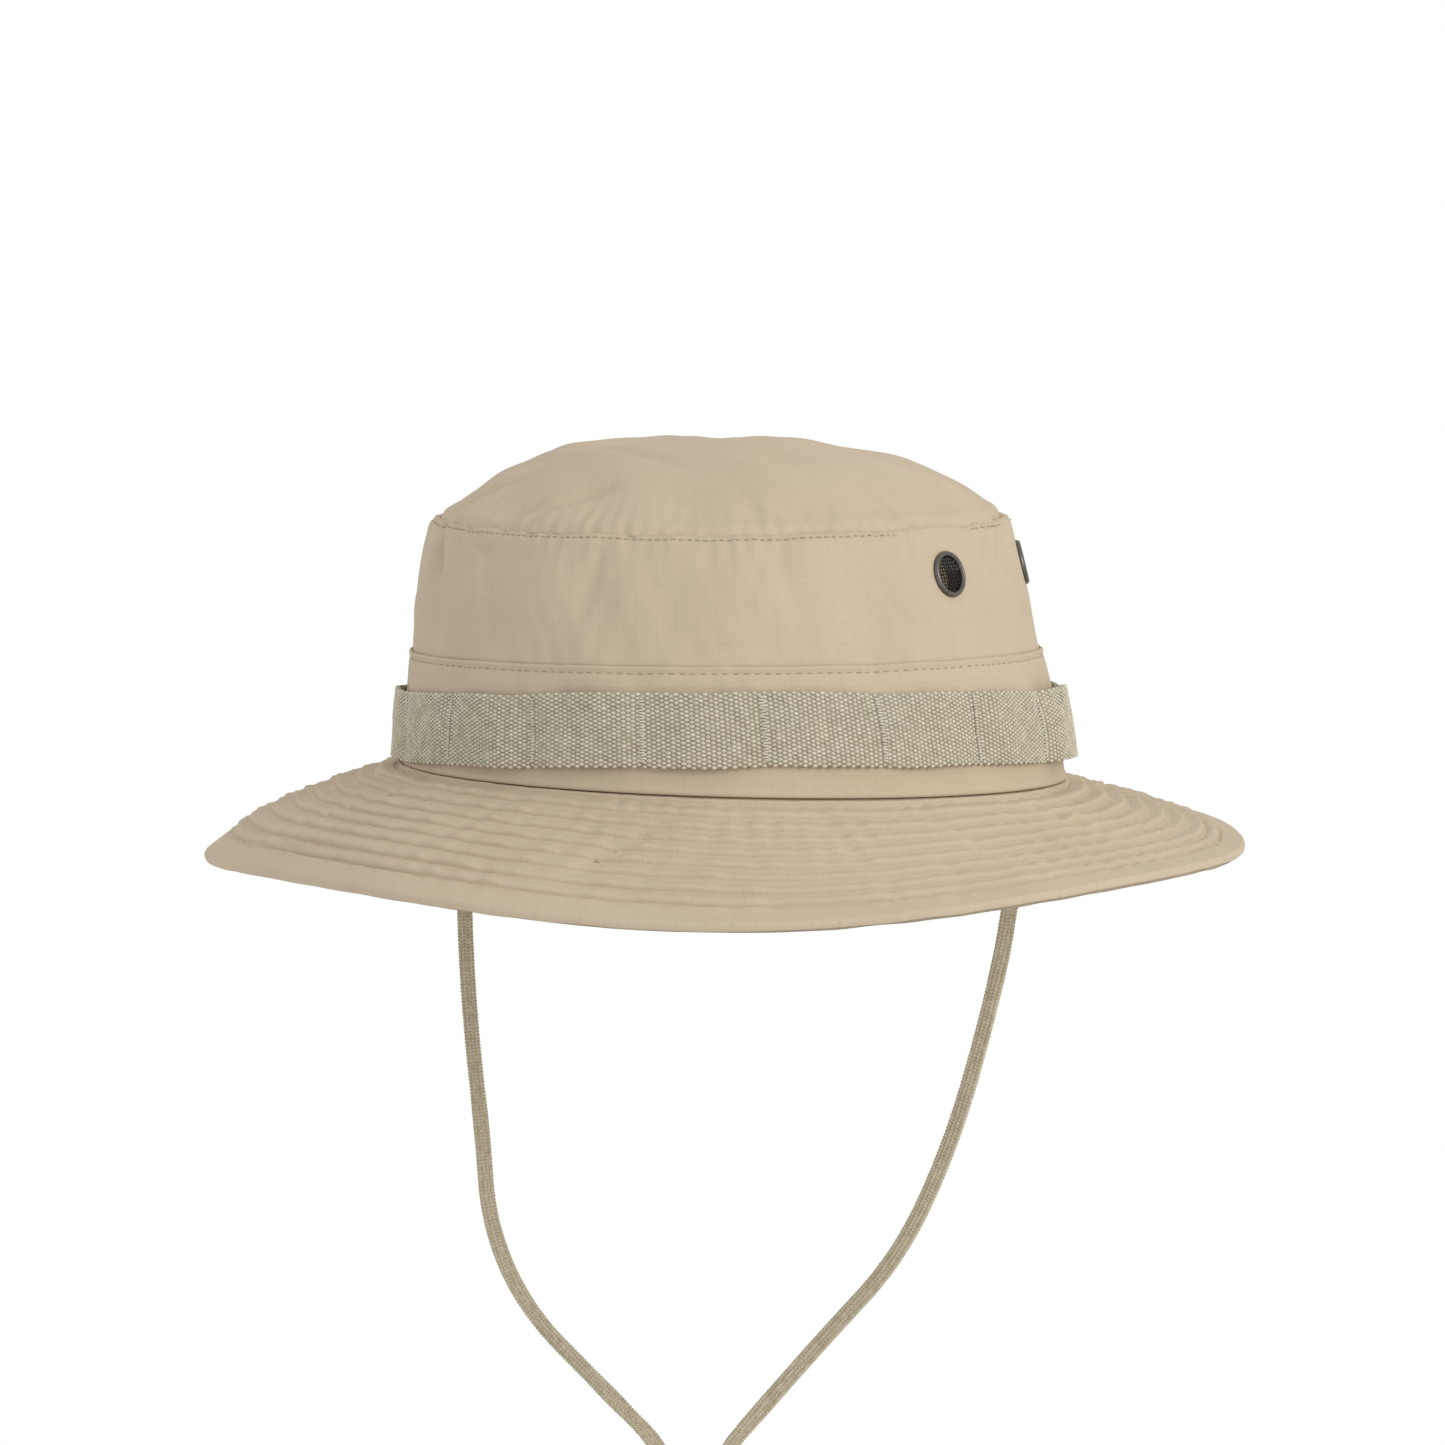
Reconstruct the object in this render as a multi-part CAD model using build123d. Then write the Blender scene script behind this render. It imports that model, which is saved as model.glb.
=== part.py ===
from build123d import *
import math
import os

# A boonie hat: a soft, wide-brimmed field hat of cotton ripstop, worn on the head.
# Millimetres. +Z is up, the front of the hat faces -Y, and the origin is the centre of
# the head opening, on the seam where the crown meets the brim.

# ---- head and crown -------------------------------------------------------------
head_width = 180.0            # across the opening, inside the sweatband
head_length = 198.0           # front to back, inside the sweatband
lay_gap = 0.1                 # air left between two layers of cloth
sweatband_thickness = 1.5
sweatband_height = 31.0       # above the brim seam
sweatband_drop = 3.0          # below it, so that it covers the brim's raw edge
cloth = 0.8                   # crown ripstop
wall_height = 74.0            # brim seam to top seam
wall_straight = 0.4           # share of that height before the shoulder leans in
wall_taper = 0.05             # how fast each side of the straight part narrows
shoulder_inset = 12.9         # how much narrower each side is at the top seam
crown_rise = 21.5             # top seam to the highest point of the crown
crown_flat = 40.0             # half width of the nearly flat middle of the crown
crown_flat_drop = 3.0         # how far its edge lies under the highest point
curve_steps = 5               # straight steps that stand for a curved outline

# ---- band, webbing and bar tacks --------------------------------------------------
band_height = 35.5
band_thickness = 0.6
webbing_width = 20.0
webbing_thickness = 1.4
webbing_base = 6.5            # lower edge above the brim seam
loop_count = 18               # foliage loops, one between each two bar tacks
loop_phase = 11.0             # degrees from the front to the first bar tack
loop_bow = 0.9                # how far a loop stands off the band at its middle
loop_stations = 6             # places along a loop where its section is drawn
tack_width = 2.0
tack_height = 17.0
tack_thickness = 0.5

# ---- care label --------------------------------------------------------------------
label_width = 34.0
label_height = 20.0
label_base = 6.0
label_thickness = 0.2

# ---- brim -------------------------------------------------------------------------
brim_width = 60.0             # along the slope, seam to edge
brim_skin = 0.5               # ripstop panel, above and below
interlining = 1.2
brim_hem = 3.0                # how far the interlining stops short of the edge
brim_play = 0.2               # between the brim's raw edge and the sweatband that covers it
brim_drop = 21.75             # mean height lost from seam to edge
# The edge is never level. Each row is waves per turn, then how far the cosine and the
# sine of that wave lift the edge, counted round from the lowest part of the front.
brim_waves = ((1, -1.5, 1.4), (2, -2.75, -1.2), (4, -2.0, 0.0))
brim_wave_phase = 24.0        # degrees from the front to where those waves start
brim_stations = 72            # places round the brim where its section is drawn

# ---- vents ------------------------------------------------------------------------
vent_bore = 10.0
vent_flange = 13.8
vent_lip = 0.5                # thickness of the flange and of the barrel wall
vent_crown = 0.6              # how far its rolled rim rises over the flange
vent_height = 56.0
vent_azimuth = 70.0           # degrees from the front, and from the back for the rear
vent_turn = 4.0               # the cloth draws each vent round towards the side,
vent_lift = 10.0              # and up, from square to the wall
vent_seat = 3.6               # gathered cloth held between flange and washer
washer_thickness = 0.5
screen_thickness = 0.4
screen_hole = 1.3
screen_pitch = 1.9
fit = 0.1                     # between pieces that are pressed or clamped together

# ---- chin cord ---------------------------------------------------------------------
lace_width = 5.0              # a flat braided lace
lace_thickness = 1.8
cord_side = 87.0              # each strand leaves the hat this far from the middle
cord_start = -6.0             # height of the point that it swings about
swing_gap = 0.3
anchor_width = 6.0
anchor_height = 14.0
anchor_thickness = 1.3
keeper_height = 18.0
keeper_wall = 2.2             # leather round and between the two slots
keeper_top = -224.0
slot_play = 0.6               # room on each side of the lace, across its width
slot_play_thick = 1.1         # and across its thickness
keeper_round = 2.4
strand_middle = -12.0         # the two strands hang this far off the middle of the hat
cord_end = -300.0             # where the strands go into the knot
knot_height = 16.0
knot_depth = 11.0
knot_bevel = 3.6
tail_length = 20.0
tail_splay = 14.0             # degrees

# ---- sizes that follow -------------------------------------------------------------
stretch = head_length / head_width          # the head is an oval, longer than wide
seam_radius = head_width / 2 + sweatband_thickness + lay_gap   # inner face of the wall
band_offset = cloth + lay_gap
webbing_offset = band_offset + band_thickness + lay_gap
tack_pitch = 360 / loop_count
brim_thickness = 2 * brim_skin + 2 * lay_gap + interlining
barrel_radius = vent_bore / 2 + vent_lip
keeper_slot = lace_width + 2 * slot_play
keeper_slot_depth = lace_thickness + 2 * slot_play_thick
strand_spacing = keeper_slot + keeper_wall
left_x = strand_middle - strand_spacing / 2
right_x = strand_middle + strand_spacing / 2
knot_width = strand_spacing + lace_width + knot_bevel

# Each strand's route, across and up. They hang in one upright plane across the hat, and
# below the last bend the knot's weight holds them straight.
left_route = (
    (-cord_side, cord_start), (-87.3, -40.0), (-85.2, -77.0), (-81.2, -110.0),
    (-79.2, -137.0), (-67.0, -161.0), (-44.0, -180.5), (left_x, -204.0),
    (left_x + 0.15, -252.0), (left_x, cord_end),
)
right_route = (
    (cord_side, cord_start), (84.8, -35.0), (76.5, -71.0), (66.0, -105.0),
    (51.0, -136.5), (28.5, -161.0), (10.0, -182.0), (right_x, -202.5),
    (right_x + 0.15, -251.0), (right_x, cord_end),
)


# ---- the oval that every layer follows ------------------------------------------------
def oval_point(radius, angle, z):
    """A point at this angle from the front, on an oval as wide as 2 x radius."""
    turn = math.radians(angle)
    return Vector(radius * math.sin(turn), -stretch * radius * math.cos(turn), z)


def oval_normal(angle):
    """The level outward direction of the oval at that point."""
    turn = math.radians(angle)
    return Vector(math.sin(turn), -math.cos(turn) / stretch, 0).normalized()


def turned(outline):
    """Turn a closed outline of (radius, height) about Z, then stretch it to the oval."""
    face = make_face(Plane.XZ * Polyline(*outline, close=True))
    return scale(revolve(face, Axis.Z), by=(1, stretch, 1))


def ring(stations, section):
    """A closed band round the hat, of ruled patches between the corners that
    section(angle) gives at each station."""
    outlines = [section(360 * i / stations) for i in range(stations)]
    patches = []
    for here, there in zip(outlines, outlines[1:] + outlines[:1]):
        sides = [Edge.make_line(a, b) for a, b in zip(here, there)]
        for side, following in zip(sides, sides[1:] + sides[:1]):
            patches.append(Face.make_surface_from_curves(side, following))
    return Solid(Shell(patches))


# ---- crown ---------------------------------------------------------------------------
def wall_radius(z):
    """Inner face of the wall's straight part."""
    return seam_radius - wall_taper * z


def shoulder_points(offset):
    """The wall's outline above its straight part: one arc, in straight steps."""
    start = wall_height * wall_straight
    rise = wall_height - start
    inset = shoulder_inset - wall_taper * start
    radius = (rise ** 2 + inset ** 2) / (2 * inset)
    points = []
    for i in range(curve_steps + 1):
        up = rise * i / curve_steps
        fall_in = radius - math.sqrt(radius ** 2 - up ** 2)
        points.append((wall_radius(start) + offset - fall_in, start + up))
    return points


def crown_side():
    """The wall: a straight foot and a shoulder that leans in, drilled for the vents."""
    outer = [(seam_radius + cloth, 0)] + shoulder_points(cloth)
    inner = [(seam_radius, 0)] + shoulder_points(0)
    wall = turned(outer + inner[::-1])
    for place in vent_places():
        wall += extrude(place * Circle(vent_flange / 2 - fit), vent_seat / 2, both=True)
        wall -= extrude(place * Circle(barrel_radius + fit), vent_flange, both=True)
    return wall


def crown_top():
    """The top panel: a shallow dome that meets the wall edge to edge at the top seam."""
    rim = shoulder_points(cloth)[-1][0]
    base = wall_height + lay_gap
    flat_edge = base + crown_rise - crown_flat_drop
    outline = []
    for inset in (0, cloth):
        slope = Spline(
            (rim - inset, base), (crown_flat, flat_edge - inset),
            tangents=((-1, 1.4), (-1, 2 * crown_flat_drop / crown_flat)),
        )
        points = [slope @ (i / curve_steps) for i in range(curve_steps + 1)]
        outer = [(point.X, point.Y) for point in points] + [(0, base + crown_rise - inset)]
        outline += outer if inset == 0 else outer[::-1]
    return turned(outline)


def strip(offset, thickness, low, high):
    """The outline of a strip that lies along the wall between two heights."""
    inner = [(wall_radius(z) + offset, z) for z in (low, high)]
    outer = [(radius + thickness, z) for radius, z in inner]
    return inner + outer[::-1]


def crown_band():
    return turned(strip(band_offset, band_thickness, 0, band_height))


def sweatband():
    offset = -lay_gap - sweatband_thickness
    return turned(strip(offset, sweatband_thickness, -sweatband_drop, sweatband_height))


def care_label():
    """A blank label sewn to the sweatband, inside at the back."""
    offset = -2 * lay_gap - sweatband_thickness - label_thickness
    tape = turned(strip(offset, label_thickness, label_base, label_base + label_height))
    at_the_back = Pos(0, seam_radius * stretch, 0)
    return tape & at_the_back * Box(label_width, head_length / 2, head_length)


# ---- webbing ----------------------------------------------------------------------
def foliage_webbing():
    """One strip round the crown, held down at each bar tack and bowed out between."""
    def section(past_tack):
        bow = loop_bow * math.sin(math.pi * past_tack / tack_pitch) ** 2
        top = webbing_base + webbing_width
        return [
            oval_point(radius + bow, loop_phase + past_tack, z)
            for radius, z in strip(webbing_offset, webbing_thickness, webbing_base, top)
        ]
    return ring(loop_stations * loop_count, section)


def webbing_bartacks():
    """The dense rows of stitches that hold the webbing down."""
    middle = webbing_base + webbing_width / 2
    radius = wall_radius(middle) + webbing_offset + webbing_thickness
    lean = math.degrees(math.atan(wall_taper))
    half = tack_width / 2
    rim = half / 2
    outline = Polyline((-half, 0), (half, 0), (rim, tack_thickness), (-rim, tack_thickness),
                       close=True)
    bar = extrude(make_face(outline), tack_height / 2, both=True)
    tacks = []
    for i in range(loop_count):
        angle = loop_phase + i * tack_pitch
        out = oval_normal(angle)
        centre = oval_point(radius, angle, middle) + out * lay_gap
        place = Plane(centre, x_dir=out.cross(Vector(0, 0, 1)), z_dir=Vector(0, 0, 1))
        tacks.append(place * Rot(lean, 0, 0) * bar)
    return Compound(children=tacks)


# ---- brim -------------------------------------------------------------------------
def brim_fall(angle):
    """Height lost between the seam and the edge at this angle from the front."""
    turn = math.radians(angle - brim_wave_phase)
    lift = sum(c * math.cos(n * turn) + s * math.sin(n * turn) for n, c, s in brim_waves)
    return brim_drop - lift


def brim_point(angle, along, depth):
    """A point on the brim, this far down the slope and this deep under its upper face."""
    share = along / brim_width
    fall = brim_fall(angle)
    reach = math.sqrt(brim_width ** 2 - fall ** 2)
    root = oval_point(wall_radius(-sweatband_drop) + brim_play, angle, -lay_gap)
    return root + oval_normal(angle) * reach * share - Vector(0, 0, fall * share + depth)


def brim_layer(outline):
    """A layer of the brim, from its outline as (distance down the slope, depth)."""
    return ring(brim_stations, lambda angle: [brim_point(angle, *corner) for corner in outline])


def brim_upper():
    """The upper panel, with its edge turned down to meet the lower one."""
    fold = brim_thickness / 2 - lay_gap / 2
    edge = brim_width - brim_skin
    return brim_layer(((0, 0), (0, brim_skin), (edge, brim_skin), (edge, fold),
                       (brim_width, fold), (brim_width, 0)))


def brim_lower():
    """The lower panel, with its edge turned up to meet the upper one."""
    fold = brim_thickness / 2 + lay_gap / 2
    top = brim_thickness - brim_skin
    edge = brim_width - brim_skin
    return brim_layer(((0, top), (0, brim_thickness), (brim_width, brim_thickness),
                       (brim_width, fold), (edge, fold), (edge, top)))


def brim_interlining():
    """The stiff layer between the two panels, short of the hem."""
    top = brim_skin + lay_gap
    edge = brim_width - brim_hem
    return brim_layer(((0, top), (0, top + interlining), (edge, top + interlining), (edge, top)))


# ---- vents ------------------------------------------------------------------------
def wall_at(z):
    """Radius of the outside of the wall at a height on the shoulder, and its lean."""
    points = shoulder_points(cloth)
    for (low_radius, low), (high_radius, high) in zip(points, points[1:]):
        if low <= z <= high:
            share = (z - low) / (high - low)
            lean = math.atan2(low_radius - high_radius, high - low)
            return low_radius + (high_radius - low_radius) * share, math.degrees(lean)
    raise ValueError("the vents lie on the shoulder of the wall")


def vent_places():
    """The planes that the vents lie in, centred in the cloth and facing out."""
    radius, lean = wall_at(vent_height)
    places = []
    for back in (False, True):
        for side in (1, -1):
            azimuth = 180 - vent_azimuth if back else vent_azimuth
            towards_side = -vent_turn if back else vent_turn
            level = oval_normal(side * azimuth).rotate(Axis.Z, side * towards_side)
            tilt = math.radians(lean + vent_lift)
            out = level * math.cos(tilt) + Vector(0, 0, math.sin(tilt))
            centre = oval_point(radius, side * azimuth, vent_height) - out * cloth / 2
            places.append(Plane(centre, x_dir=Vector(0, 0, 1).cross(out), z_dir=out))
    return places


def vent_shell():
    """Flange and barrel in one: a rolled rim outside, a barrel through the cloth."""
    bore = vent_bore / 2
    rim = vent_flange / 2
    face = vent_seat / 2 + fit
    crest = face + vent_lip + vent_crown
    back = -vent_seat / 2 - washer_thickness - 2 * fit
    outline = Polyline(
        (bore, back), (bore, face + vent_lip), (barrel_radius, crest),
        (rim - vent_lip, face + vent_lip), (rim, face), (barrel_radius, face),
        (barrel_radius, back), close=True)
    return revolve(make_face(Plane.XZ * outline), Axis.Z)


def vent_washer():
    """The ring inside the crown that the barrel is closed over."""
    flat = Circle(vent_flange / 2) - Circle(barrel_radius + fit)
    return Pos(0, 0, -vent_seat / 2 - fit - washer_thickness) * extrude(flat, washer_thickness)


def vent_screen():
    """The fine metal screen across the bore."""
    edge = vent_bore / 2 - fit
    reach = edge - screen_hole
    rows = int(reach / screen_pitch)
    mesh = Circle(edge)
    for i in range(-rows, rows + 1):
        for j in range(-rows, rows + 1):
            if math.hypot(i, j) * screen_pitch <= reach:
                mesh -= Pos(i * screen_pitch, j * screen_pitch) * Rectangle(screen_hole, screen_hole)
    return Pos(0, 0, vent_seat / 2 - screen_thickness) * extrude(mesh, screen_thickness)


# ---- chin cord --------------------------------------------------------------------
def strand(route, name):
    """One strand of flat lace along its route, rounded where it swings."""
    points = [Vector(x, 0, z) for x, z in route]
    runs = [b - a for a, b in zip(points, points[1:])]
    radii = []
    for before, after in zip(runs, runs[1:]):
        half_turn = math.radians(before.get_angle(after)) / 2
        radii.append(0.45 * min(before.length, after.length) / math.tan(half_turn))
    path = FilletPolyline(*points, radius=radii)
    start = Plane(points[0], x_dir=Vector(0, 1, 0), z_dir=runs[0])
    lace = sweep(start * Rectangle(lace_thickness, lace_width), path=path)
    expected = lace_width * lace_thickness * path.length
    print(name, "length", round(path.length, 1), "volume share", round(lace.volume / expected, 4))
    print(name, "radii", [round(radius, 1) for radius in radii])
    pivot = Pos(points[0]) * Rot(0, 90, 0) * Cylinder(lace_thickness / 2, lace_width)
    return lace + pivot


def cord_anchor(side):
    """The end of the lace, doubled and sewn flat to the foot of the sweatband."""
    face = head_width / 2 - lay_gap - wall_taper * anchor_height
    base = cord_start + lace_thickness / 2 + swing_gap
    tab = extrude(Rectangle(anchor_thickness, anchor_width), anchor_height)
    tab = chamfer(tab.edges().filter_by(Axis.X), anchor_width / 6)
    return Pos(side * (face - anchor_thickness / 2), 0, base) * tab


def cord_keeper():
    """A leather slide with a slot for each strand."""
    width = strand_spacing + keeper_slot + 2 * keeper_wall
    depth = keeper_slot_depth + 2 * keeper_wall
    body = extrude(Rectangle(width, depth), -keeper_height)
    body = fillet(body.edges().filter_by(Axis.Z), keeper_round)
    for side in (-1, 1):
        slot = Pos(side * strand_spacing / 2, 0) * SlotOverall(keeper_slot, keeper_slot_depth)
        body -= extrude(slot, -keeper_height)
    return Pos(strand_middle, 0, keeper_top) * body


def end_knot():
    """Both strands tied in one overhand knot, with two short tails under it."""
    knot = extrude(Rectangle(knot_width, knot_depth), -knot_height)
    knot = chamfer(knot.edges(), knot_bevel)
    tail = extrude(Rectangle(lace_width, lace_thickness), -knot_height / 2 - tail_length)
    for side in (-1, 1):
        place = Pos(side * strand_spacing / 2, 0, -knot_height / 2)
        knot += place * Rot(0, -side * tail_splay, 0) * tail
    return Pos(strand_middle, 0, cord_end) * knot


def write(name, shape):
    shape.label = name
    export_step(shape, f"parts/{name}.step")
    print(name, "volume", round(shape.volume), "mm3")


def main():
    os.makedirs("parts", exist_ok=True)
    write("crown_top", crown_top())
    write("crown_side", crown_side())
    write("crown_band", crown_band())
    write("sweatband", sweatband())
    write("care_label", care_label())
    write("foliage_webbing", foliage_webbing())
    write("webbing_bartacks", webbing_bartacks())
    write("brim_upper", brim_upper())
    write("brim_interlining", brim_interlining())
    write("brim_lower", brim_lower())
    corners = ("front_right", "front_left", "rear_right", "rear_left")
    for corner, place in zip(corners, vent_places()):
        write(f"vent_shell_{corner}", place * vent_shell())
        write(f"vent_screen_{corner}", place * vent_screen())
        write(f"vent_washer_{corner}", place * vent_washer())
    write("cord_anchor_left", cord_anchor(-1))
    write("cord_anchor_right", cord_anchor(1))
    write("chin_cord_left", strand(left_route, "chin_cord_left"))
    write("chin_cord_right", strand(right_route, "chin_cord_right"))
    write("end_knot", end_knot())
    write("cord_keeper", cord_keeper())


main()
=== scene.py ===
# %% [markdown]
# # A boonie hat
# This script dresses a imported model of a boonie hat: a soft field hat with a round crown, a
# stitched sloping brim, a webbing band and a chin cord. Cloth that is sewn to a plan has a
# rule to its shape, so every cloth piece here is drawn by a formula from the model's own
# sizes, and then creased. The cells go from the camera and the cord to the cloth, the
# webbing, the metal vents and the threads, and last to the light.

# %% Load the frame
import math

import bmesh
import bpy
import numpy as np
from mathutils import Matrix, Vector


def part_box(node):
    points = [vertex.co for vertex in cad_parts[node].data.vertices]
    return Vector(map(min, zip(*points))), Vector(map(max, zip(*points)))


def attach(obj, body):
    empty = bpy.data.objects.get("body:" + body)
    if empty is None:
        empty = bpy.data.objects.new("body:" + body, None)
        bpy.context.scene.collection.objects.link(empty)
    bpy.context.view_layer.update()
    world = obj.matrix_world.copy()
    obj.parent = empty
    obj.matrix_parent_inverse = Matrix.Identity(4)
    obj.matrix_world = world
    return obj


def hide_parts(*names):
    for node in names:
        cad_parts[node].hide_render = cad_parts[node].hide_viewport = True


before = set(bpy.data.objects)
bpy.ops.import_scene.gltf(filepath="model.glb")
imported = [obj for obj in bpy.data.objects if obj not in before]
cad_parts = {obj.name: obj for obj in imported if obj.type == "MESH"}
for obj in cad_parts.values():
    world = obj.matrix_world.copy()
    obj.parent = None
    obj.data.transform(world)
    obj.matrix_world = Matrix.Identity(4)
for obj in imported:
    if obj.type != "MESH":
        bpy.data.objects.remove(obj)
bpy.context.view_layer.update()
MM = 0.001
FULL_TURN = 2 * math.pi

# %% [markdown]
# ## Sizes
# A hat maker measures the crown as a stack of ovals. The frame gives the box of each piece,
# so every place below is worked out in millimetres from those boxes.

# %% Read the sizes


def size_of(node):
    """Lowest and highest corner of a node, in millimetres."""
    low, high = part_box(node)
    return Vector(low) / MM, Vector(high) / MM


wall_high = size_of("crown_side")[1]
top_high = size_of("crown_top")[1]
band_high = size_of("crown_band")[1]
web_low, web_high = size_of("foliage_webbing")
sweat_low, sweat_high = size_of("sweatband")
knot_low, knot_high = size_of("end_knot")
STRETCH = band_high.y / band_high.x          # the head is longer than it is wide
WALL_RADIUS = wall_high.x                    # outside of the wall at the brim seam
TOP_RADIUS = top_high.x                      # and at the top seam
TOP_SEAM = wall_high.z
CROWN_TOP = top_high.z
BAND_TOP = band_high.z
CLOTH = 0.8                                  # thickness of the crown's ripstop
print("crown", round(WALL_RADIUS, 1), "to", round(TOP_RADIUS, 1), "stretch", round(STRETCH, 3))

# %% [markdown]
# ## Camera
# The hat hangs level with the eye and is turned a little, so the camera looks from 24
# degrees round and 4 degrees up. A long lens from 1.4 m keeps the brim's oval calm, as a
# product picture does.

# %% Set the camera
VIEW_TURN = 24                   # degrees
VIEW_LIFT = 4
VIEW_DISTANCE = 1.4
VIEW_WIDTH = 0.4129              # width of the picture at the hat, in metres
VIEW_HEIGHT = 0.014              # middle of the picture above the brim seam
VIEW_SIDE = -0.0036              # and to the side of the hat's middle
SENSOR = 36                      # millimetres, as on a full-frame camera
turn = math.radians(VIEW_TURN)
across = Vector((math.cos(turn), math.sin(turn), 0))
target = across * VIEW_SIDE + Vector((0, 0, VIEW_HEIGHT))


def stand_looking(name, data, degrees_round, degrees_up, distance):
    """Put a camera or a lamp round the hat from its front, and turn it to the target."""
    turned, lifted = math.radians(degrees_round), math.radians(degrees_up)
    level = math.cos(lifted)
    way = Vector((math.sin(turned) * level, -math.cos(turned) * level, math.sin(lifted)))
    thing = bpy.data.objects.new(name, data)
    thing.location = target + way * distance
    thing.rotation_euler = (-way).to_track_quat("-Z", "Y").to_euler()
    bpy.context.collection.objects.link(thing)
    return thing


camera_data = bpy.data.cameras.new("camera")
camera_data.sensor_width = SENSOR
camera_data.lens = SENSOR * VIEW_DISTANCE / VIEW_WIDTH
bpy.context.scene.camera = stand_looking("camera", camera_data, VIEW_TURN, VIEW_LIFT,
                                         VIEW_DISTANCE)
print("lens", round(camera_data.lens, 1), "mm")

# %% [markdown]
# ## Mesh helpers
# Almost every piece is a grid of points that closes on itself: round the hat one way, and
# round its own section the other way. Writing the points as one numpy array keeps the
# formulas short and fast. Each grid carries a UV map in metres of flat cloth, so a weave
# keeps its real size and follows the cloth round the hat.

# %% Build meshes from grids


def unit(vectors):
    """The same directions, one long."""
    return vectors / np.maximum(np.linalg.norm(vectors, axis=-1, keepdims=True), 1e-9)


def smoothstep(low, high, value):
    """0 below low, 1 above high, and a soft rise between."""
    share = np.clip((value - low) / (high - low), 0, 1)
    return share * share * (3 - 2 * share)


def grid_mesh(name, points, plan, close_rows=True):
    """A mesh of points[row, column] in mm whose columns close; plan is each corner's place
    on the flat cloth, in mm, with one row and one column more than points where they close."""
    rows, columns = points.shape[:2]
    last = rows if close_rows else rows - 1
    i, j = np.meshgrid(np.arange(last), np.arange(columns), indexing="ij")
    corners = [(i, j), (i + 1, j), (i + 1, j + 1), (i, j + 1)]
    index = np.stack([(a % rows) * columns + b % columns for a, b in corners], axis=-1)
    places = np.stack([plan[a, b] for a, b in corners], axis=-2)
    mesh = bpy.data.meshes.new(name)
    mesh.from_pydata((points.reshape(-1, 3) * MM).tolist(), [], index.reshape(-1, 4).tolist())
    layer = mesh.uv_layers.new(name="cloth")
    layer.uv.foreach_set("vector", (places.reshape(-1, 2) * MM).ravel())
    return mesh


def strip_plan(around, along):
    """The flat plan of a strip: its place round the hat, and across."""
    return np.stack(np.meshgrid(around, along, indexing="ij"), axis=-1)


def closed(values):
    """A section's values with the first one again at the end."""
    return np.concatenate([values, values[:1]])


def add_piece(name, meshes, material, body, nodes=()):
    """Join meshes into one named piece on a body, in place of CAD nodes, with a finish."""
    work = bmesh.new()
    for mesh in meshes:
        work.from_mesh(mesh)
        bpy.data.meshes.remove(mesh)
    bmesh.ops.remove_doubles(work, verts=work.verts, dist=1e-6)
    bmesh.ops.recalc_face_normals(work, faces=work.faces)
    mesh = bpy.data.meshes.new(name)
    work.to_mesh(mesh)
    work.free()
    mesh.polygons.foreach_set("use_smooth", [True] * len(mesh.polygons))
    mesh.materials.append(material)
    piece = bpy.data.objects.new(name, mesh)
    bpy.context.collection.objects.link(piece)
    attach(piece, body)
    if nodes:
        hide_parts(*nodes)
    print(name, len(mesh.polygons), "faces")
    return piece


# %% [markdown]
# ## Node helpers
# One helper adds a node with its settings and links, so a tree reads as a list of steps.
# Colours are picked as sRGB hex values, as on a colour card, and turned linear for shading.

# %% Build node trees


def linear(hex_colour):
    """An sRGB hex colour as the linear values that a shader wants."""
    shares = [int(hex_colour[i:i + 2], 16) / 255 for i in (0, 2, 4)]
    return [s / 12.92 if s <= 0.04045 else ((s + 0.055) / 1.055) ** 2.4 for s in shares] + [1.0]


def add_node(tree, kind, inputs=(), **settings):
    """Add a node. An input's value is either a socket to link from or a constant."""
    node = tree.nodes.new(kind)
    for name, value in settings.items():
        setattr(node, name, value)
    for name, value in dict(inputs).items():
        if isinstance(value, bpy.types.NodeSocket):
            tree.links.new(value, node.inputs[name])
        else:
            node.inputs[name].default_value = value
    return node


def math_node(tree, operation, *values):
    """The result of one sum on values or sockets."""
    return add_node(tree, "ShaderNodeMath", enumerate(values), operation=operation).outputs[0]


def new_material(name, colour, roughness, sheen=0.0, metallic=0.0):
    """A plain Principled material; returns it, its tree and its shader."""
    material = bpy.data.materials.new(name)
    material.use_nodes = True
    tree = material.node_tree
    shader = tree.nodes["Principled BSDF"]
    shader.inputs["Base Color"].default_value = linear(colour)
    shader.inputs["Roughness"].default_value = roughness
    shader.inputs["Metallic"].default_value = metallic
    shader.inputs["Sheen Weight"].default_value = sheen
    shader.inputs["Sheen Tint"].default_value = linear(colour)
    return material, tree, shader


# %% [markdown]
# ## Cloth materials
# Ripstop is a plain weave with a thicker thread every few millimetres, both ways, so that a
# tear stops there. Up close it shows a faint square grid; from afar it only softens the
# light. Washing leaves slow, faint changes of tone.

# %% Make the cloth materials
RIPSTOP_GRID = 6.0 * MM          # from one thick thread to the next
RIPSTOP_LINE = 0.5 * MM
YARN = 0.55 * MM                 # from one plain yarn to the next


def yarn_wave(tree, length, pitch):
    """A soft wave along one direction of the cloth, once per pitch."""
    return math_node(tree, "SINE", math_node(tree, "MULTIPLY", length, FULL_TURN / pitch))


def grid_line(tree, length, pitch, width):
    """1 on a line that repeats once per pitch, and 0 between the lines."""
    place = math_node(tree, "PINGPONG", length, pitch / 2)
    line = add_node(tree, "ShaderNodeMapRange", {0: place, 1: 0.0, 2: width, 3: 1.0, 4: 0.0},
                    interpolation_type="SMOOTHSTEP")
    return line.outputs[0]


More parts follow.
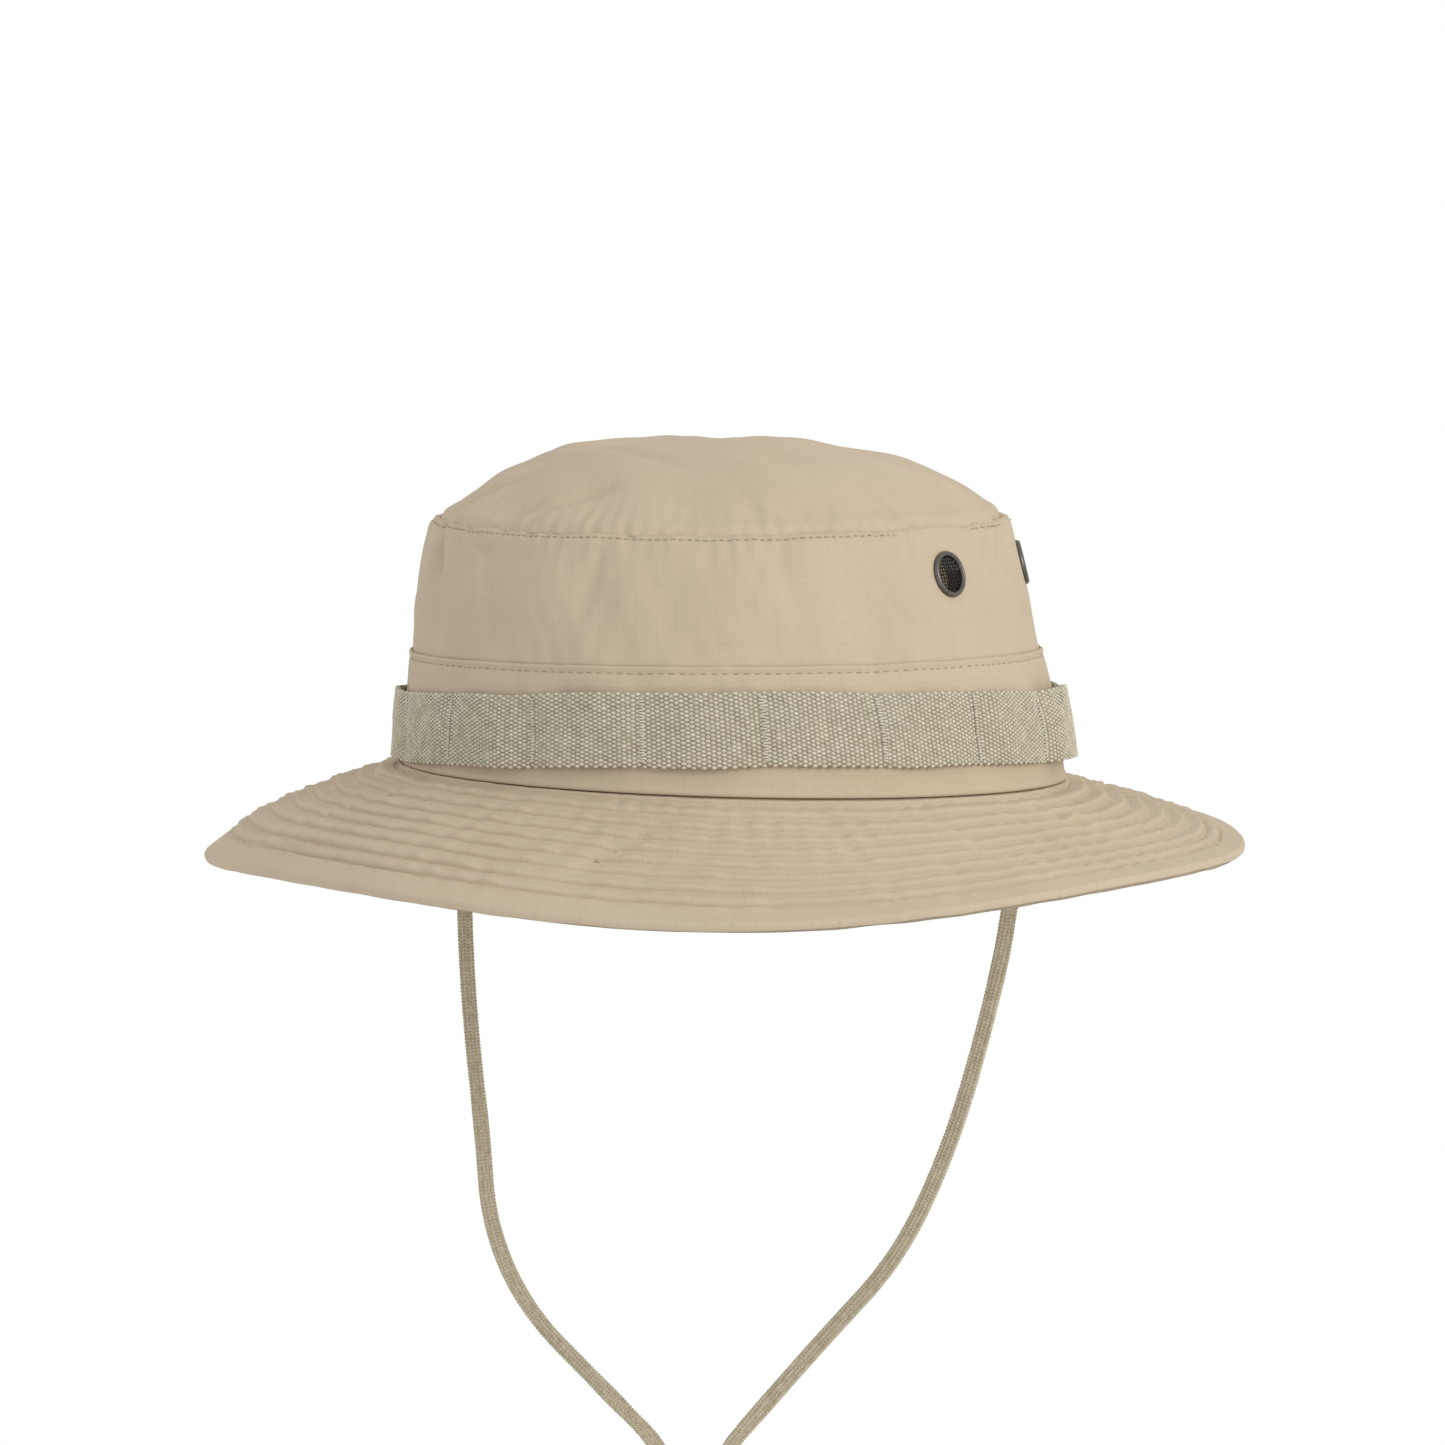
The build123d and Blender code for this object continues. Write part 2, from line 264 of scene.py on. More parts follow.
def cloth_material(name, colour, dark, bump=0.25, grid=True, sheen=0.15):
    """A matt woven cloth that reads its own UV map, in metres."""
    material, tree, shader = new_material(name, colour, 0.92, sheen)
    plan = add_node(tree, "ShaderNodeUVMap", uv_map="cloth").outputs[0]
    parts = add_node(tree, "ShaderNodeSeparateXYZ", {0: plan})
    warp, weft = parts.outputs[0], parts.outputs[1]
    slub = add_node(tree, "ShaderNodeTexNoise", {"Vector": plan, "Scale": 900.0, "Detail": 4.0,
                                                 "Roughness": 0.7})
    wash = add_node(tree, "ShaderNodeTexNoise", {"Vector": plan, "Scale": 28.0, "Detail": 3.0})
    tone = math_node(tree, "MULTIPLY_ADD", slub.outputs[0], 0.55, 0.05)
    tone = math_node(tree, "MULTIPLY_ADD", wash.outputs[0], 0.75, tone)
    height = math_node(tree, "MULTIPLY", yarn_wave(tree, warp, YARN), yarn_wave(tree, weft, YARN))
    height = math_node(tree, "MULTIPLY_ADD", slub.outputs[0], 1.6, height)
    if grid:
        lines = math_node(tree, "MAXIMUM", grid_line(tree, warp, RIPSTOP_GRID, RIPSTOP_LINE),
                          grid_line(tree, weft, RIPSTOP_GRID, RIPSTOP_LINE))
        height = math_node(tree, "MULTIPLY_ADD", lines, 1.5, height)
        tone = math_node(tree, "MULTIPLY_ADD", lines, -0.12, tone)
    mix = add_node(tree, "ShaderNodeMix", {0: tone, 6: linear(dark), 7: linear(colour)},
                   data_type="RGBA")
    tree.links.new(mix.outputs[2], shader.inputs["Base Color"])
    relief = add_node(tree, "ShaderNodeBump", {"Strength": bump, "Distance": 0.15 * MM,
                                               "Height": height})
    tree.links.new(relief.outputs[0], shader.inputs["Normal"])
    return material


ripstop = cloth_material("washed_cotton_ripstop", "CEBDA4", "BBAA91")
tape = cloth_material("cotton_twill_tape", "BFB095", "A8987D", bump=0.4, grid=False)
canvas = cloth_material("interlining_canvas", "D2C8B4", "BDB19A", bump=0.4, grid=False)
label_tape = cloth_material("blank_label_tape", "D8D3C6", "C9C3B4", bump=0.15, grid=False)

# %% [markdown]
# ## Yarn, metal and leather
# Webbing and lace are thick spun yarn: matt, a little fuzzy, and different in tone from
# stitch to stitch. The vents are brass, blackened in a bath, so they stay metal with a grey
# shine on their edges. The keeper is leather, smooth where it is handled.

# %% Make the other materials


def yarn_material(name, colour, dark, scale):
    """Spun yarn whose tone changes from stitch to stitch."""
    material, tree, shader = new_material(name, colour, 0.9, 0.2)
    place = add_node(tree, "ShaderNodeTexCoord").outputs["Object"]
    fleck = add_node(tree, "ShaderNodeTexNoise", {"Vector": place, "Scale": scale, "Detail": 3.0})
    share = add_node(tree, "ShaderNodeMapRange", {0: fleck.outputs[0], 1: 0.3, 2: 0.7})
    mix = add_node(tree, "ShaderNodeMix", {0: share.outputs[0], 6: linear(dark), 7: linear(colour)},
                   data_type="RGBA")
    tree.links.new(mix.outputs[2], shader.inputs["Base Color"])
    return material


webbing_yarn = yarn_material("webbing_yarn", "DCD7C4", "C4BEA8", 500.0)
webbing_ground = yarn_material("webbing_ground_yarn", "B3AC97", "A39B85", 500.0)
lace_yarn = yarn_material("braided_lace_yarn", "D0C6AE", "B9AE94", 700.0)
# The thread is darker than the cloth. Part of that is its own tone and part is painted shade, so the
# sunk stitch lines of the seams and of the brim's rows read as dark grooves.
thread = yarn_material("sewing_thread", "BCAD92", "A6967A", 300.0)

blackened_metal, metal_tree, metal = new_material("blackened_brass", "6E6A66", 0.38, metallic=1.0)
place = add_node(metal_tree, "ShaderNodeTexCoord").outputs["Object"]
wear = add_node(metal_tree, "ShaderNodeTexNoise", {"Vector": place, "Scale": 600.0, "Detail": 3.0})
rough = add_node(metal_tree, "ShaderNodeMapRange", {0: wear.outputs[0], 3: 0.28, 4: 0.5})
metal_tree.links.new(rough.outputs[0], metal.inputs["Roughness"])
# The screen's wire is oxidised nearly black, so the bore reads as dark.
screen_wire = new_material("oxidised_wire", "3A3835", 0.45, metallic=1.0)[0]

leather, leather_tree, hide = new_material("vegetable_tanned_leather", "7A5A3C", 0.5)
place = add_node(leather_tree, "ShaderNodeTexCoord").outputs["Object"]
grain = add_node(leather_tree, "ShaderNodeTexVoronoi", {"Vector": place, "Scale": 1400.0})
bumps = add_node(leather_tree, "ShaderNodeBump", {"Strength": 0.3, "Distance": 0.1 * MM,
                                                  "Height": grain.outputs["Distance"]})
leather_tree.links.new(bumps.outputs[0], hide.inputs["Normal"])
print(len(bpy.data.materials), "materials")

# %% [markdown]
# ## Stitches laid by Geometry Nodes
# A braid, a webbing weave and a line of sewing are all one short piece of yarn, repeated.
# One node tree lays a small bead at every point of a helper mesh, turned by two directions
# that the point carries: the way the yarn runs, and the way out of the cloth.

# %% Build the bead tree


def build_bead_tree():
    """Lays one smooth bead on every point, along its 'along' and facing its 'out'."""
    tree = bpy.data.node_groups.new("lay_beads", "GeometryNodeTree")
    tree.interface.new_socket("Geometry", in_out="INPUT", socket_type="NodeSocketGeometry")
    for name, value in (("Length", 2.0), ("Width", 1.0), ("Height", 0.6)):
        socket = tree.interface.new_socket(name, in_out="INPUT", socket_type="NodeSocketFloat")
        socket.default_value = value * MM
    socket = tree.interface.new_socket("Unevenness", in_out="INPUT", socket_type="NodeSocketFloat")
    socket.default_value = 0.08
    tree.interface.new_socket("Material", in_out="INPUT", socket_type="NodeSocketMaterial")
    tree.interface.new_socket("Geometry", in_out="OUTPUT", socket_type="NodeSocketGeometry")
    given = add_node(tree, "NodeGroupInput").outputs
    ball = add_node(tree, "GeometryNodeMeshIcoSphere", {"Radius": 0.5, "Subdivisions": 1})
    size = add_node(tree, "ShaderNodeCombineXYZ", {0: given["Length"], 1: given["Width"],
                                                   2: given["Height"]})
    bead = add_node(tree, "GeometryNodeTransform", {"Geometry": ball.outputs[0],
                                                    "Scale": size.outputs[0]})
    along = add_node(tree, "GeometryNodeInputNamedAttribute", {"Name": "along"},
                     data_type="FLOAT_VECTOR")
    out = add_node(tree, "GeometryNodeInputNamedAttribute", {"Name": "out"},
                   data_type="FLOAT_VECTOR")
    first = add_node(tree, "FunctionNodeAlignRotationToVector", {"Vector": along.outputs[0]},
                     axis="X")
    second = add_node(tree, "FunctionNodeAlignRotationToVector",
                      {"Rotation": first.outputs[0], "Vector": out.outputs[0]},
                      axis="Z", pivot_axis="X")
    smallest = math_node(tree, "SUBTRACT", 1.0, given["Unevenness"])
    largest = math_node(tree, "ADD", 1.0, given["Unevenness"])
    chance = add_node(tree, "FunctionNodeRandomValue", {"Min": smallest, "Max": largest, "Seed": 7},
                      data_type="FLOAT")
    laid = add_node(tree, "GeometryNodeInstanceOnPoints",
                    {"Points": given["Geometry"], "Instance": bead.outputs[0],
                     "Rotation": second.outputs[0], "Scale": chance.outputs["Value"]})
    real = add_node(tree, "GeometryNodeRealizeInstances", {0: laid.outputs[0]})
    made = add_node(tree, "GeometryNodeSetMaterial", {"Geometry": real.outputs[0],
                                                      "Material": given["Material"]})
    add_node(tree, "NodeGroupOutput", {"Geometry": made.outputs[0]})
    return tree


bead_tree = build_bead_tree()

# %% [markdown]
# ## Laying the beads
# Each set of beads is laid by the tree above on a mesh of loose points, which then goes.

# %% Lay beads on points


def bead_mesh(points, along, out, size, material, uneven=0.08):
    """A mesh of beads: places, the way each runs and faces, and its size, all in mm."""
    count = points.reshape(-1, 3).shape[0]
    helper = bpy.data.meshes.new("bead_places")
    helper.vertices.add(count)
    helper.vertices.foreach_set("co", (points.reshape(-1, 3) * MM).ravel())
    for name, field in (("along", along), ("out", out)):
        attribute = helper.attributes.new(name, "FLOAT_VECTOR", "POINT")
        attribute.data.foreach_set("vector", np.broadcast_to(field, points.shape).ravel())
    holder = bpy.data.objects.new("bead_places", helper)
    bpy.context.collection.objects.link(holder)
    nodes = holder.modifiers.new("lay_beads", "NODES")
    nodes.node_group = bead_tree
    values = {"Length": size[0] * MM, "Width": size[1] * MM, "Height": size[2] * MM,
              "Unevenness": uneven, "Material": material}
    for item in bead_tree.interface.items_tree:
        if item.in_out == "INPUT" and item.name in values:
            nodes[item.identifier] = values[item.name]
    bpy.context.view_layer.update()
    shaped = holder.evaluated_get(bpy.context.evaluated_depsgraph_get())
    mesh = bpy.data.meshes.new_from_object(shaped)
    bpy.data.objects.remove(holder)
    bpy.data.meshes.remove(helper)
    return mesh


# %% [markdown]
# ## The chin cord's line
# The cord is one flat braided lace, sewn in at both sides of the head and tied below the
# keeper. Its two strands hang in one upright plane, and each was let fall by its own
# weight, so its route is a few points that a smooth curve passes by.

# %% Read the cord's curves
LEFT_ROUTE = [
    (-0.087, 0, -0.006), (-0.0873, 0, -0.040), (-0.0852, 0, -0.077), (-0.0812, 0, -0.110),
    (-0.0792, 0, -0.137), (-0.067, 0, -0.161), (-0.044, 0, -0.1805), (-0.0162, 0, -0.204),
    (-0.01605, 0, -0.252), (-0.0162, 0, -0.300),
]
RIGHT_ROUTE = [
    (0.087, 0, -0.006), (0.0848, 0, -0.035), (0.0765, 0, -0.071), (0.066, 0, -0.105),
    (0.051, 0, -0.1365), (0.0285, 0, -0.161), (0.010, 0, -0.182), (-0.0078, 0, -0.2025),
    (-0.00765, 0, -0.251), (-0.0078, 0, -0.300),
]
LACE_WIDTH = 5.0                 # millimetres
LACE_THICKNESS = 1.7


def curve_line(route):
    """The points of a smooth curve along a route, both in metres."""
    data = bpy.data.curves.new("route", "CURVE")
    data.dimensions = "3D"
    data.resolution_u = 24
    spline = data.splines.new("NURBS")
    spline.points.add(len(route) - 1)
    for point, place in zip(spline.points, route):
        point.co = (*place, 1)
    spline.order_u = 3
    spline.use_endpoint_u = True
    holder = bpy.data.objects.new("route", data)
    mesh = bpy.data.meshes.new_from_object(holder)
    line = np.array([vertex.co for vertex in mesh.vertices])
    bpy.data.objects.remove(holder)
    bpy.data.curves.remove(data)
    bpy.data.meshes.remove(mesh)
    return line


def run_of(line):
    """How far along a line each of its points is."""
    return np.concatenate([[0], np.cumsum(np.linalg.norm(np.diff(line, axis=0), axis=1))])


left_line, right_line = curve_line(LEFT_ROUTE), curve_line(RIGHT_ROUTE)
for name, line in (("left", left_line), ("right", right_line)):
    print(name, "strand", round(run_of(line)[-1], 4), "m,", len(line), "points")

# %% [markdown]
# ## The braided lace
# A flat braid is made of yarns that cross from edge to edge, so each face shows columns of
# short slanted stitches, every second column slanted the other way. A thin core carries the
# shape and the stitches are laid over it. The lace also turns about its own line as it
# hangs, which is given as a few angles down its height.

# %% Make the lace
BRAID_COLUMNS = 4
BRAID_PITCH = 1.0                # from one stitch to the next in a column
BRAID_SLANT = math.radians(38)
BRAID_SPREAD = 0.92              # the columns fill this share of the width
BRAID_STITCH = (1.9, 0.85, 0.75)
CORE_SHARE = (0.94, 0.72)        # of the lace's width and thickness
MIDDLE_LIFT, EDGE_LIFT = 0.34, 0.27      # of the thickness, from the lace's middle
# Height in mm, and how far the lace has turned there, in degrees.
LEFT_TWIST = ((-6, 90), (-26, 8), (-98, 0), (-110, 40), (-136, 44), (-165, 0), (-180, 0),
              (-190, 62), (-200, 30), (-212, 0), (-300, 0))
RIGHT_TWIST = ((-6, 90), (-24, 40), (-44, 34), (-60, 0), (-178, 0), (-192, 40), (-208, 0),
               (-300, 0))


def twist_along(line, turns):
    """The lace's turn at every point of a line, from pairs of height and angle."""
    heights = [-height for height, _ in turns]
    angles = [angle for _, angle in turns]
    return np.interp(-line[:, 2] / MM, heights, angles)


def lace_frames(line, facing, twist=0.0):
    """The lace's direction, and the way its width and its face point, along a line."""
    along = unit(np.gradient(line, axis=0))
    side = unit(np.cross(along, facing))
    face = np.cross(side, along)
    angle = np.radians(twist)
    cos, sin = (np.broadcast_to(f(angle), len(line))[:, None] for f in (np.cos, np.sin))
    return along, side * cos + face * sin, face * cos - side * sin


def lace_meshes(name, line, facing, twist=0.0, width=LACE_WIDTH, thickness=LACE_THICKNESS):
    """A lace along a line in metres: its core, and the braid's stitches on both faces."""
    along, side, face = lace_frames(line, facing, twist)
    ring = np.linspace(0, FULL_TURN, 12, endpoint=False)
    flat = width / 2 * CORE_SHARE[0] * np.sign(np.cos(ring)) * np.abs(np.cos(ring)) ** 0.6
    deep = thickness / 2 * CORE_SHARE[1] * np.sin(ring)
    section = side[:, None] * flat[None, :, None] + face[:, None] * deep[None, :, None]
    centre = np.repeat(line[:, None] / MM, len(ring), axis=1)
    points = np.concatenate([centre[:1], centre + section, centre[-1:]])
    run = run_of(line) / MM
    plan = strip_plan(np.concatenate([run[:1], run, run[-1:]]), closed(ring))
    core = grid_mesh(name, points, plan, close_rows=False)
    places = np.arange(BRAID_PITCH, run[-1] - BRAID_PITCH / 2, BRAID_PITCH)

    def at(values):
        return np.stack([np.interp(places, run, values[:, k]) for k in range(3)], axis=-1)
    middle, along, side, face = at(line / MM), unit(at(along)), unit(at(side)), unit(at(face))
    beads = []
    for column in range(BRAID_COLUMNS):
        offset = ((column + 0.5) / BRAID_COLUMNS - 0.5) * width * BRAID_SPREAD
        slant = BRAID_SLANT * (-1) ** column
        yarn = along * math.cos(slant) + side * math.sin(slant)
        for out in (1, -1):
            inside = 0 < column < BRAID_COLUMNS - 1
            lift = out * thickness * (MIDDLE_LIFT if inside else EDGE_LIFT)
            beads.append((middle + side * offset + face * lift, yarn, face * out))
    points, yarns, outs = (np.concatenate(field) for field in zip(*beads))
    size = (BRAID_STITCH[0] * width / LACE_WIDTH, *BRAID_STITCH[1:])
    return [core, bead_mesh(points, yarns, outs, size, lace_yarn)]


FORWARD = np.array([0.0, -1.0, 0.0])
strands = {}
for side_name, line, turns, place in (("left", left_line, LEFT_TWIST, LEFT_ROUTE[0]),
                                      ("right", right_line, RIGHT_TWIST, RIGHT_ROUTE[0])):
    name = f"chin_cord_{side_name}"
    meshes = lace_meshes(name, line, FORWARD, twist_along(line, turns))
    strands[side_name] = add_piece(f"lace_{side_name}", meshes, lace_yarn, "chin_cord",
                                   [name])

# %% [markdown]
# ## The lace's sewn ends and its knot
# Each end of the lace is doubled against the foot of the sweatband and sewn there. Below
# the keeper both strands go round together in one overhand knot, and two short tails hang
# out of it. The knot's path is an overhand knot drawn with a few points.

# %% Make the ends and the knot
SEWN_WIDTH, SEWN_THICKNESS = 6.0, 1.3    # doubled, and pressed flat by the sewing
KNOT_WIDTH, KNOT_THICKNESS = 4.4, 1.6    # drawn in, where it is pulled tight


def anchor_line(side):
    """The sewn end of the lace: straight up the inside of the sweatband."""
    low, high = (corner * MM for corner in size_of(f"cord_anchor_{side}"))
    middle = (low + high) / 2
    return np.linspace((middle.x, middle.y, low.z), (middle.x, middle.y, high.z), 12)


for side_name, out in (("left", -1.0), ("right", 1.0)):
    line = anchor_line(side_name)
    meshes = lace_meshes("anchor", line, np.array([out, 0, 0]), width=SEWN_WIDTH,
                         thickness=SEWN_THICKNESS)
    add_piece(f"sewn_lace_end_{side_name}", meshes, lace_yarn, "hat",
              [f"cord_anchor_{side_name}"])

KNOT_MIDDLE = (knot_low + knot_high) / 2
KNOT_TOP = knot_high.z
KNOT_HALF = 8.0                  # half the height of the knot without its tails
KNOT_PATH = (                    # across, deep and up from its middle, in mm
    (0, 0.6, 8.5), (-0.5, 2.4, 4.5), (-3.4, 3.4, 0.5), (-3.6, 2.0, -4.6), (1.2, -1.4, -5.4),
    (4.8, -3.0, -1.2), (3.8, -3.4, 3.4), (-1.6, -3.4, 4.4), (-5.2, -1.4, 2.2),
    (-4.6, 2.4, -1.4), (0.2, 2.6, -2.0), (2.0, 0.6, -4.4), (1.0, 0, -8.5),
)
TAIL_DROP = 19.0
TAIL_SPLAY = 7.0


def knot_line(side):
    """One strand through the knot and out as a tail; side is -1 or 1."""
    middle = Vector((KNOT_MIDDLE.x, KNOT_MIDDLE.y, KNOT_TOP - KNOT_HALF))
    shift = Vector((side * 1.6, -side * 0.5, side * 0.5))
    route = [Vector(place) + shift for place in KNOT_PATH]
    entry = Vector((side * 4.2, 0, KNOT_HALF + 1.0))
    tail = Vector((side * TAIL_SPLAY, side * 1.0, -KNOT_HALF - TAIL_DROP))
    return curve_line([(middle + place) * MM for place in [entry, *route, tail]])


meshes = []
for side in (-1, 1):
    line = knot_line(side)
    middle = np.array([KNOT_MIDDLE.x, KNOT_MIDDLE.y, KNOT_TOP - KNOT_HALF]) * MM
    away = line - middle
    inside = smoothstep(0.010, 0.007, np.abs(away[:, 2:]))
    facing = unit(unit(away * (1, 1, 0.3)) * inside + FORWARD * (1 - inside))
    meshes += lace_meshes("knot", line, facing, width=KNOT_WIDTH, thickness=KNOT_THICKNESS)
end_knot = add_piece("overhand_knot", meshes, lace_yarn, "chin_cord", ["end_knot"])

# %% [markdown]
# ## The shape of the crown
# The crown's plan is one oval. Two things turn the plain oval into a soft hat: it leans
# and dips a little as it hangs, and its cloth is uneven. The unevenness is a sum of a few
# slow waves whose phases come from a fixed seed, which gives cloth its random look but the
# same hat each time.

# %% Draw the oval crown
WALL_TAPER = 0.1                 # the wall leans in by this much for each mm up
SHOULDER_START = 40.0            # above this height it also curves in
SHOULDER_BEND = 2.1              # the higher, the later it curves
DOME_BEND = 3.3
TOP_LEAN = 3.6                   # how far the top seam has moved across the view
LEAN_SHARE = 0.9                 # the lean is complete at this share of the wall's height
APEX_LEAN = 8.0                  # and how much further the highest point has
APEX_START = 82.0
APEX_BEND = 1.3
CROWN_SAG = 1.0                  # the top panel sags a little
WAIST = 1.7                      # an empty crown draws in by this much half way up
WAIST_HEIGHT = 46.0
WAIST_SPREAD = 17.0
FRONT_DIP = 3.5                  # how far the top seam sinks at the front
DIP_START = 30.0                 # above this height
FOOT_TOP = 28.0                  # the brim seam's tilt is gone at this height
ROOT_RISE, ROOT_TILT = 1.2, 3.0  # how the brim seam lies
VIEW_SIDEWAYS = np.array(across)


def from_view(angle):
    """Angle round the hat from the side that faces the camera."""
    return angle - turn


def oval(radius, angle, height):
    """Points on an oval: angle in radians from the front, towards +X."""
    side, front = radius * np.sin(angle), -STRETCH * radius * np.cos(angle)
    return np.stack(np.broadcast_arrays(side, front, height), axis=-1)


def wall_radius(height):
    """Outside of the crown wall: a straight lean, then a shoulder that curves in."""
    inset = WALL_RADIUS - WALL_TAPER * TOP_SEAM - TOP_RADIUS
    up = np.clip((height - SHOULDER_START) / (TOP_SEAM - SHOULDER_START), 0, 1)
    waist = WAIST * np.exp(-((height - WAIST_HEIGHT) / WAIST_SPREAD) ** 2)
    return WALL_RADIUS - WALL_TAPER * height - inset * up ** SHOULDER_BEND - waist


def root_height(angle):
    """The brim seam isn't quite level: it sits higher at the left of the view."""
    return ROOT_RISE - ROOT_TILT * np.sin(from_view(angle))


def foot_share(height):
    """1 at the brim seam and 0 where the wall is free of its tilt."""
    return 1 - smoothstep(0, FOOT_TOP, height)


def hang(points, angle):
    """The crown hangs a little off true: its top leans, its front dips, its foot tilts."""
    height = points[..., 2]
    lean = TOP_LEAN * smoothstep(0, TOP_SEAM * LEAN_SHARE, height)
    apex = np.clip((height - APEX_START) / (CROWN_TOP - APEX_START), 0, 1)
    lean = lean + APEX_LEAN * apex ** APEX_BEND
    front = (0.5 + 0.5 * np.cos(from_view(angle))) ** 2
    dip = smoothstep(DIP_START, TOP_SEAM, height)
    dip = dip * (1 - smoothstep(TOP_SEAM, CROWN_TOP, height))
    points = points - VIEW_SIDEWAYS * lean[..., None]
    points[..., 2] += foot_share(height) * root_height(angle) - FRONT_DIP * front * dip
    return points


def wall_point(angle, height):
    """A point on the smooth outside of the crown wall."""
    return hang(oval(wall_radius(height), angle, height), angle)


def dome_point(angle, share):
    """A point on the smooth top panel: share is 1 at the top seam and 0 at its middle."""
    height = TOP_SEAM + (CROWN_TOP - CROWN_SAG - TOP_SEAM) * (1 - share ** DOME_BEND)
    return hang(oval(TOP_RADIUS * share, angle, height), angle)


def frames_on(surface, angle, along, step):
    """Points of a surface, the way round the hat there, and the way out of the cloth."""
    point = surface(angle, along)
    around = unit(surface(angle + 0.002, along) - surface(angle - 0.002, along))
    across_cloth = surface(angle, along + step) - surface(angle, along - step)
    return point, around, unit(np.cross(around, across_cloth))


# %% [markdown]
# ## The unevenness of the cloth
# Waves give the slow ripples. A crease is a line pressed into the cloth: it has a valley, a
# small ridge beside it, and it fades out at both ends. Sewing a seam gathers the cloth a
# little, so beside each seam there are short puckers, deepest at the stitches.

# %% Draw ripples, creases and puckers
CREASE_SHARE = 1.6               # how sharply all the creases are pressed in
RIDGE_ASIDE = 1.7                # a crease's ridge is beside it by this many widths
PUCKER_FADE = 5.0                # how far from a seam its puckers reach
RIDGE_RISE, RIDGE_PLACE, RIDGE_HALF = 0.45, 3.0, 1.6
SEAM_SINK, SINK_HALF = 1.0, 1.1
NUMERIC_STEP = 0.3               # in mm, for a surface's slope
SHARE_STEP = 0.004               # the same, as a share of the top panel


def waves(seed, count, around, along, reach):
    """A field of (angle, height in mm) within about +-reach, that closes round the hat."""
    draw = np.random.default_rng(seed)
    turns = draw.integers(around[0], around[1] + 1, count)
    runs = draw.uniform(*along, count) * draw.choice([-1, 1], count)
    phases = draw.uniform(0, FULL_TURN, count)

    def field(angle, height):
        total = 0.0
        for number, run, phase in zip(turns, runs, phases):
            total = total + np.sin(number * angle + FULL_TURN * height / run + phase)
        return total * reach / math.sqrt(count)
    return field


def crease(place, start, end, depth, width):
    """How far a crease from start to end lifts the cloth; negative depth is a valley."""
    start, end = np.array(start, float), np.array(end, float)
    run = end - start
    length = np.linalg.norm(run)
    from_start = place - start
    share = np.clip(from_start @ run / length ** 2, 0, 1)
    distance = np.linalg.norm(from_start - share[..., None] * run, axis=-1)
    beside = (from_start[..., 0] * run[1] - from_start[..., 1] * run[0]) / length
    fade = 0.35 + 0.65 * np.sin(math.pi * np.clip(share, 0.02, 0.98)) ** 0.7
    valley = np.exp(-(distance / width) ** 2)
    ridge = np.exp(-(beside / width - RIDGE_ASIDE) ** 2) * np.exp(-(distance / width / 3) ** 2)
    return fade * depth * (valley - ridge / 2)


def all_creases(place, creases, where):
    """The lift of many creases; where(a, b) is the place of a crease's end."""
    return sum(crease(place, where(*start), where(*end), depth, width)
               for start, end, depth, width in creases)


def beside_seam(from_seam, pucker):
    """The cloth beside a seam: short puckers, a soft ridge, and the sink at the stitches."""
    ridge = RIDGE_RISE * np.exp(-((from_seam - RIDGE_PLACE) / RIDGE_HALF) ** 2)
    sink = SEAM_SINK * np.exp(-(np.maximum(from_seam, 0) / SINK_HALF) ** 2)
    return pucker * np.exp(-np.abs(from_seam) / PUCKER_FADE) + ridge - sink


def view_degrees(angle):
    """Degrees round the hat from the side that faces the camera, from -180 to 180."""
    return np.degrees((from_view(angle) + math.pi) % FULL_TURN - math.pi)


# %% [markdown]
# ## The wall's cloth
# The wall has slow ripples, fine ones, and a few creases that are set where the real hat has
# them.

# %% Draw the wall
WALL_MM_PER_DEGREE = 1.55
wall_slow = waves(3, 10, (2, 7), (70, 160), 0.6)
wall_fine = waves(5, 16, (9, 30), (30, 90), 0.5)
wall_grain = waves(8, 18, (40, 90), (12, 40), 0.11)
seam_pucker = waves(13, 16, (60, 120), (14, 40), 0.30)
# Creases of the wall: from and to as (degrees from the view, height in mm), depth, width.
WALL_CREASES = (
    ((-73, 74), (-66, 60), -2.2, 3.2), ((-58, 74), (-47, 66), -0.8, 2.2),
    ((-48, 68), (-44, 40), -0.5, 3.0), ((-66, 58), (-62, 38), -0.6, 3.4),
    ((-20, 72), (-24, 50), -0.35, 3.0), ((12, 73), (16, 46), -0.35, 3.2),
    ((38, 72), (44, 52), -0.5, 2.6), ((66, 72), (60, 58), -0.6, 2.6),
    ((-5, 36), (10, 44), -0.3, 3.0), ((120, 72), (128, 44), -0.9, 3.2),
    ((170, 73), (164, 40), -0.8, 3.4), ((-130, 73), (-122, 46), -0.9, 3.2),
)


def wall_relief(angle, height):
    """How far the wall's cloth stands off its smooth shape."""
    round_wall = view_degrees(angle) * WALL_MM_PER_DEGREE
    place = np.stack(np.broadcast_arrays(round_wall, height), axis=-1)
    relief = wall_slow(angle, height) + wall_fine(angle, height) + wall_grain(angle, height)
    relief = relief * smoothstep(-4, 22, height)
    relief = relief + CREASE_SHARE * all_creases(place, WALL_CREASES,
                                                 lambda a, z: (a * WALL_MM_PER_DEGREE, z))
    return relief + beside_seam(TOP_SEAM - height, seam_pucker(angle, height))


def wall_surface(angle, height, offset=0.0):
    """A point of the wall or of a layer on it, with the cloth's unevenness."""
    point, _, out = frames_on(wall_point, angle, height, NUMERIC_STEP)
    return point + out * (wall_relief(angle, height) + offset)[..., None]


# %% [markdown]
# ## The top panel's cloth
# The panel's ripples run every way, because it was cut flat and has no grain round the hat.

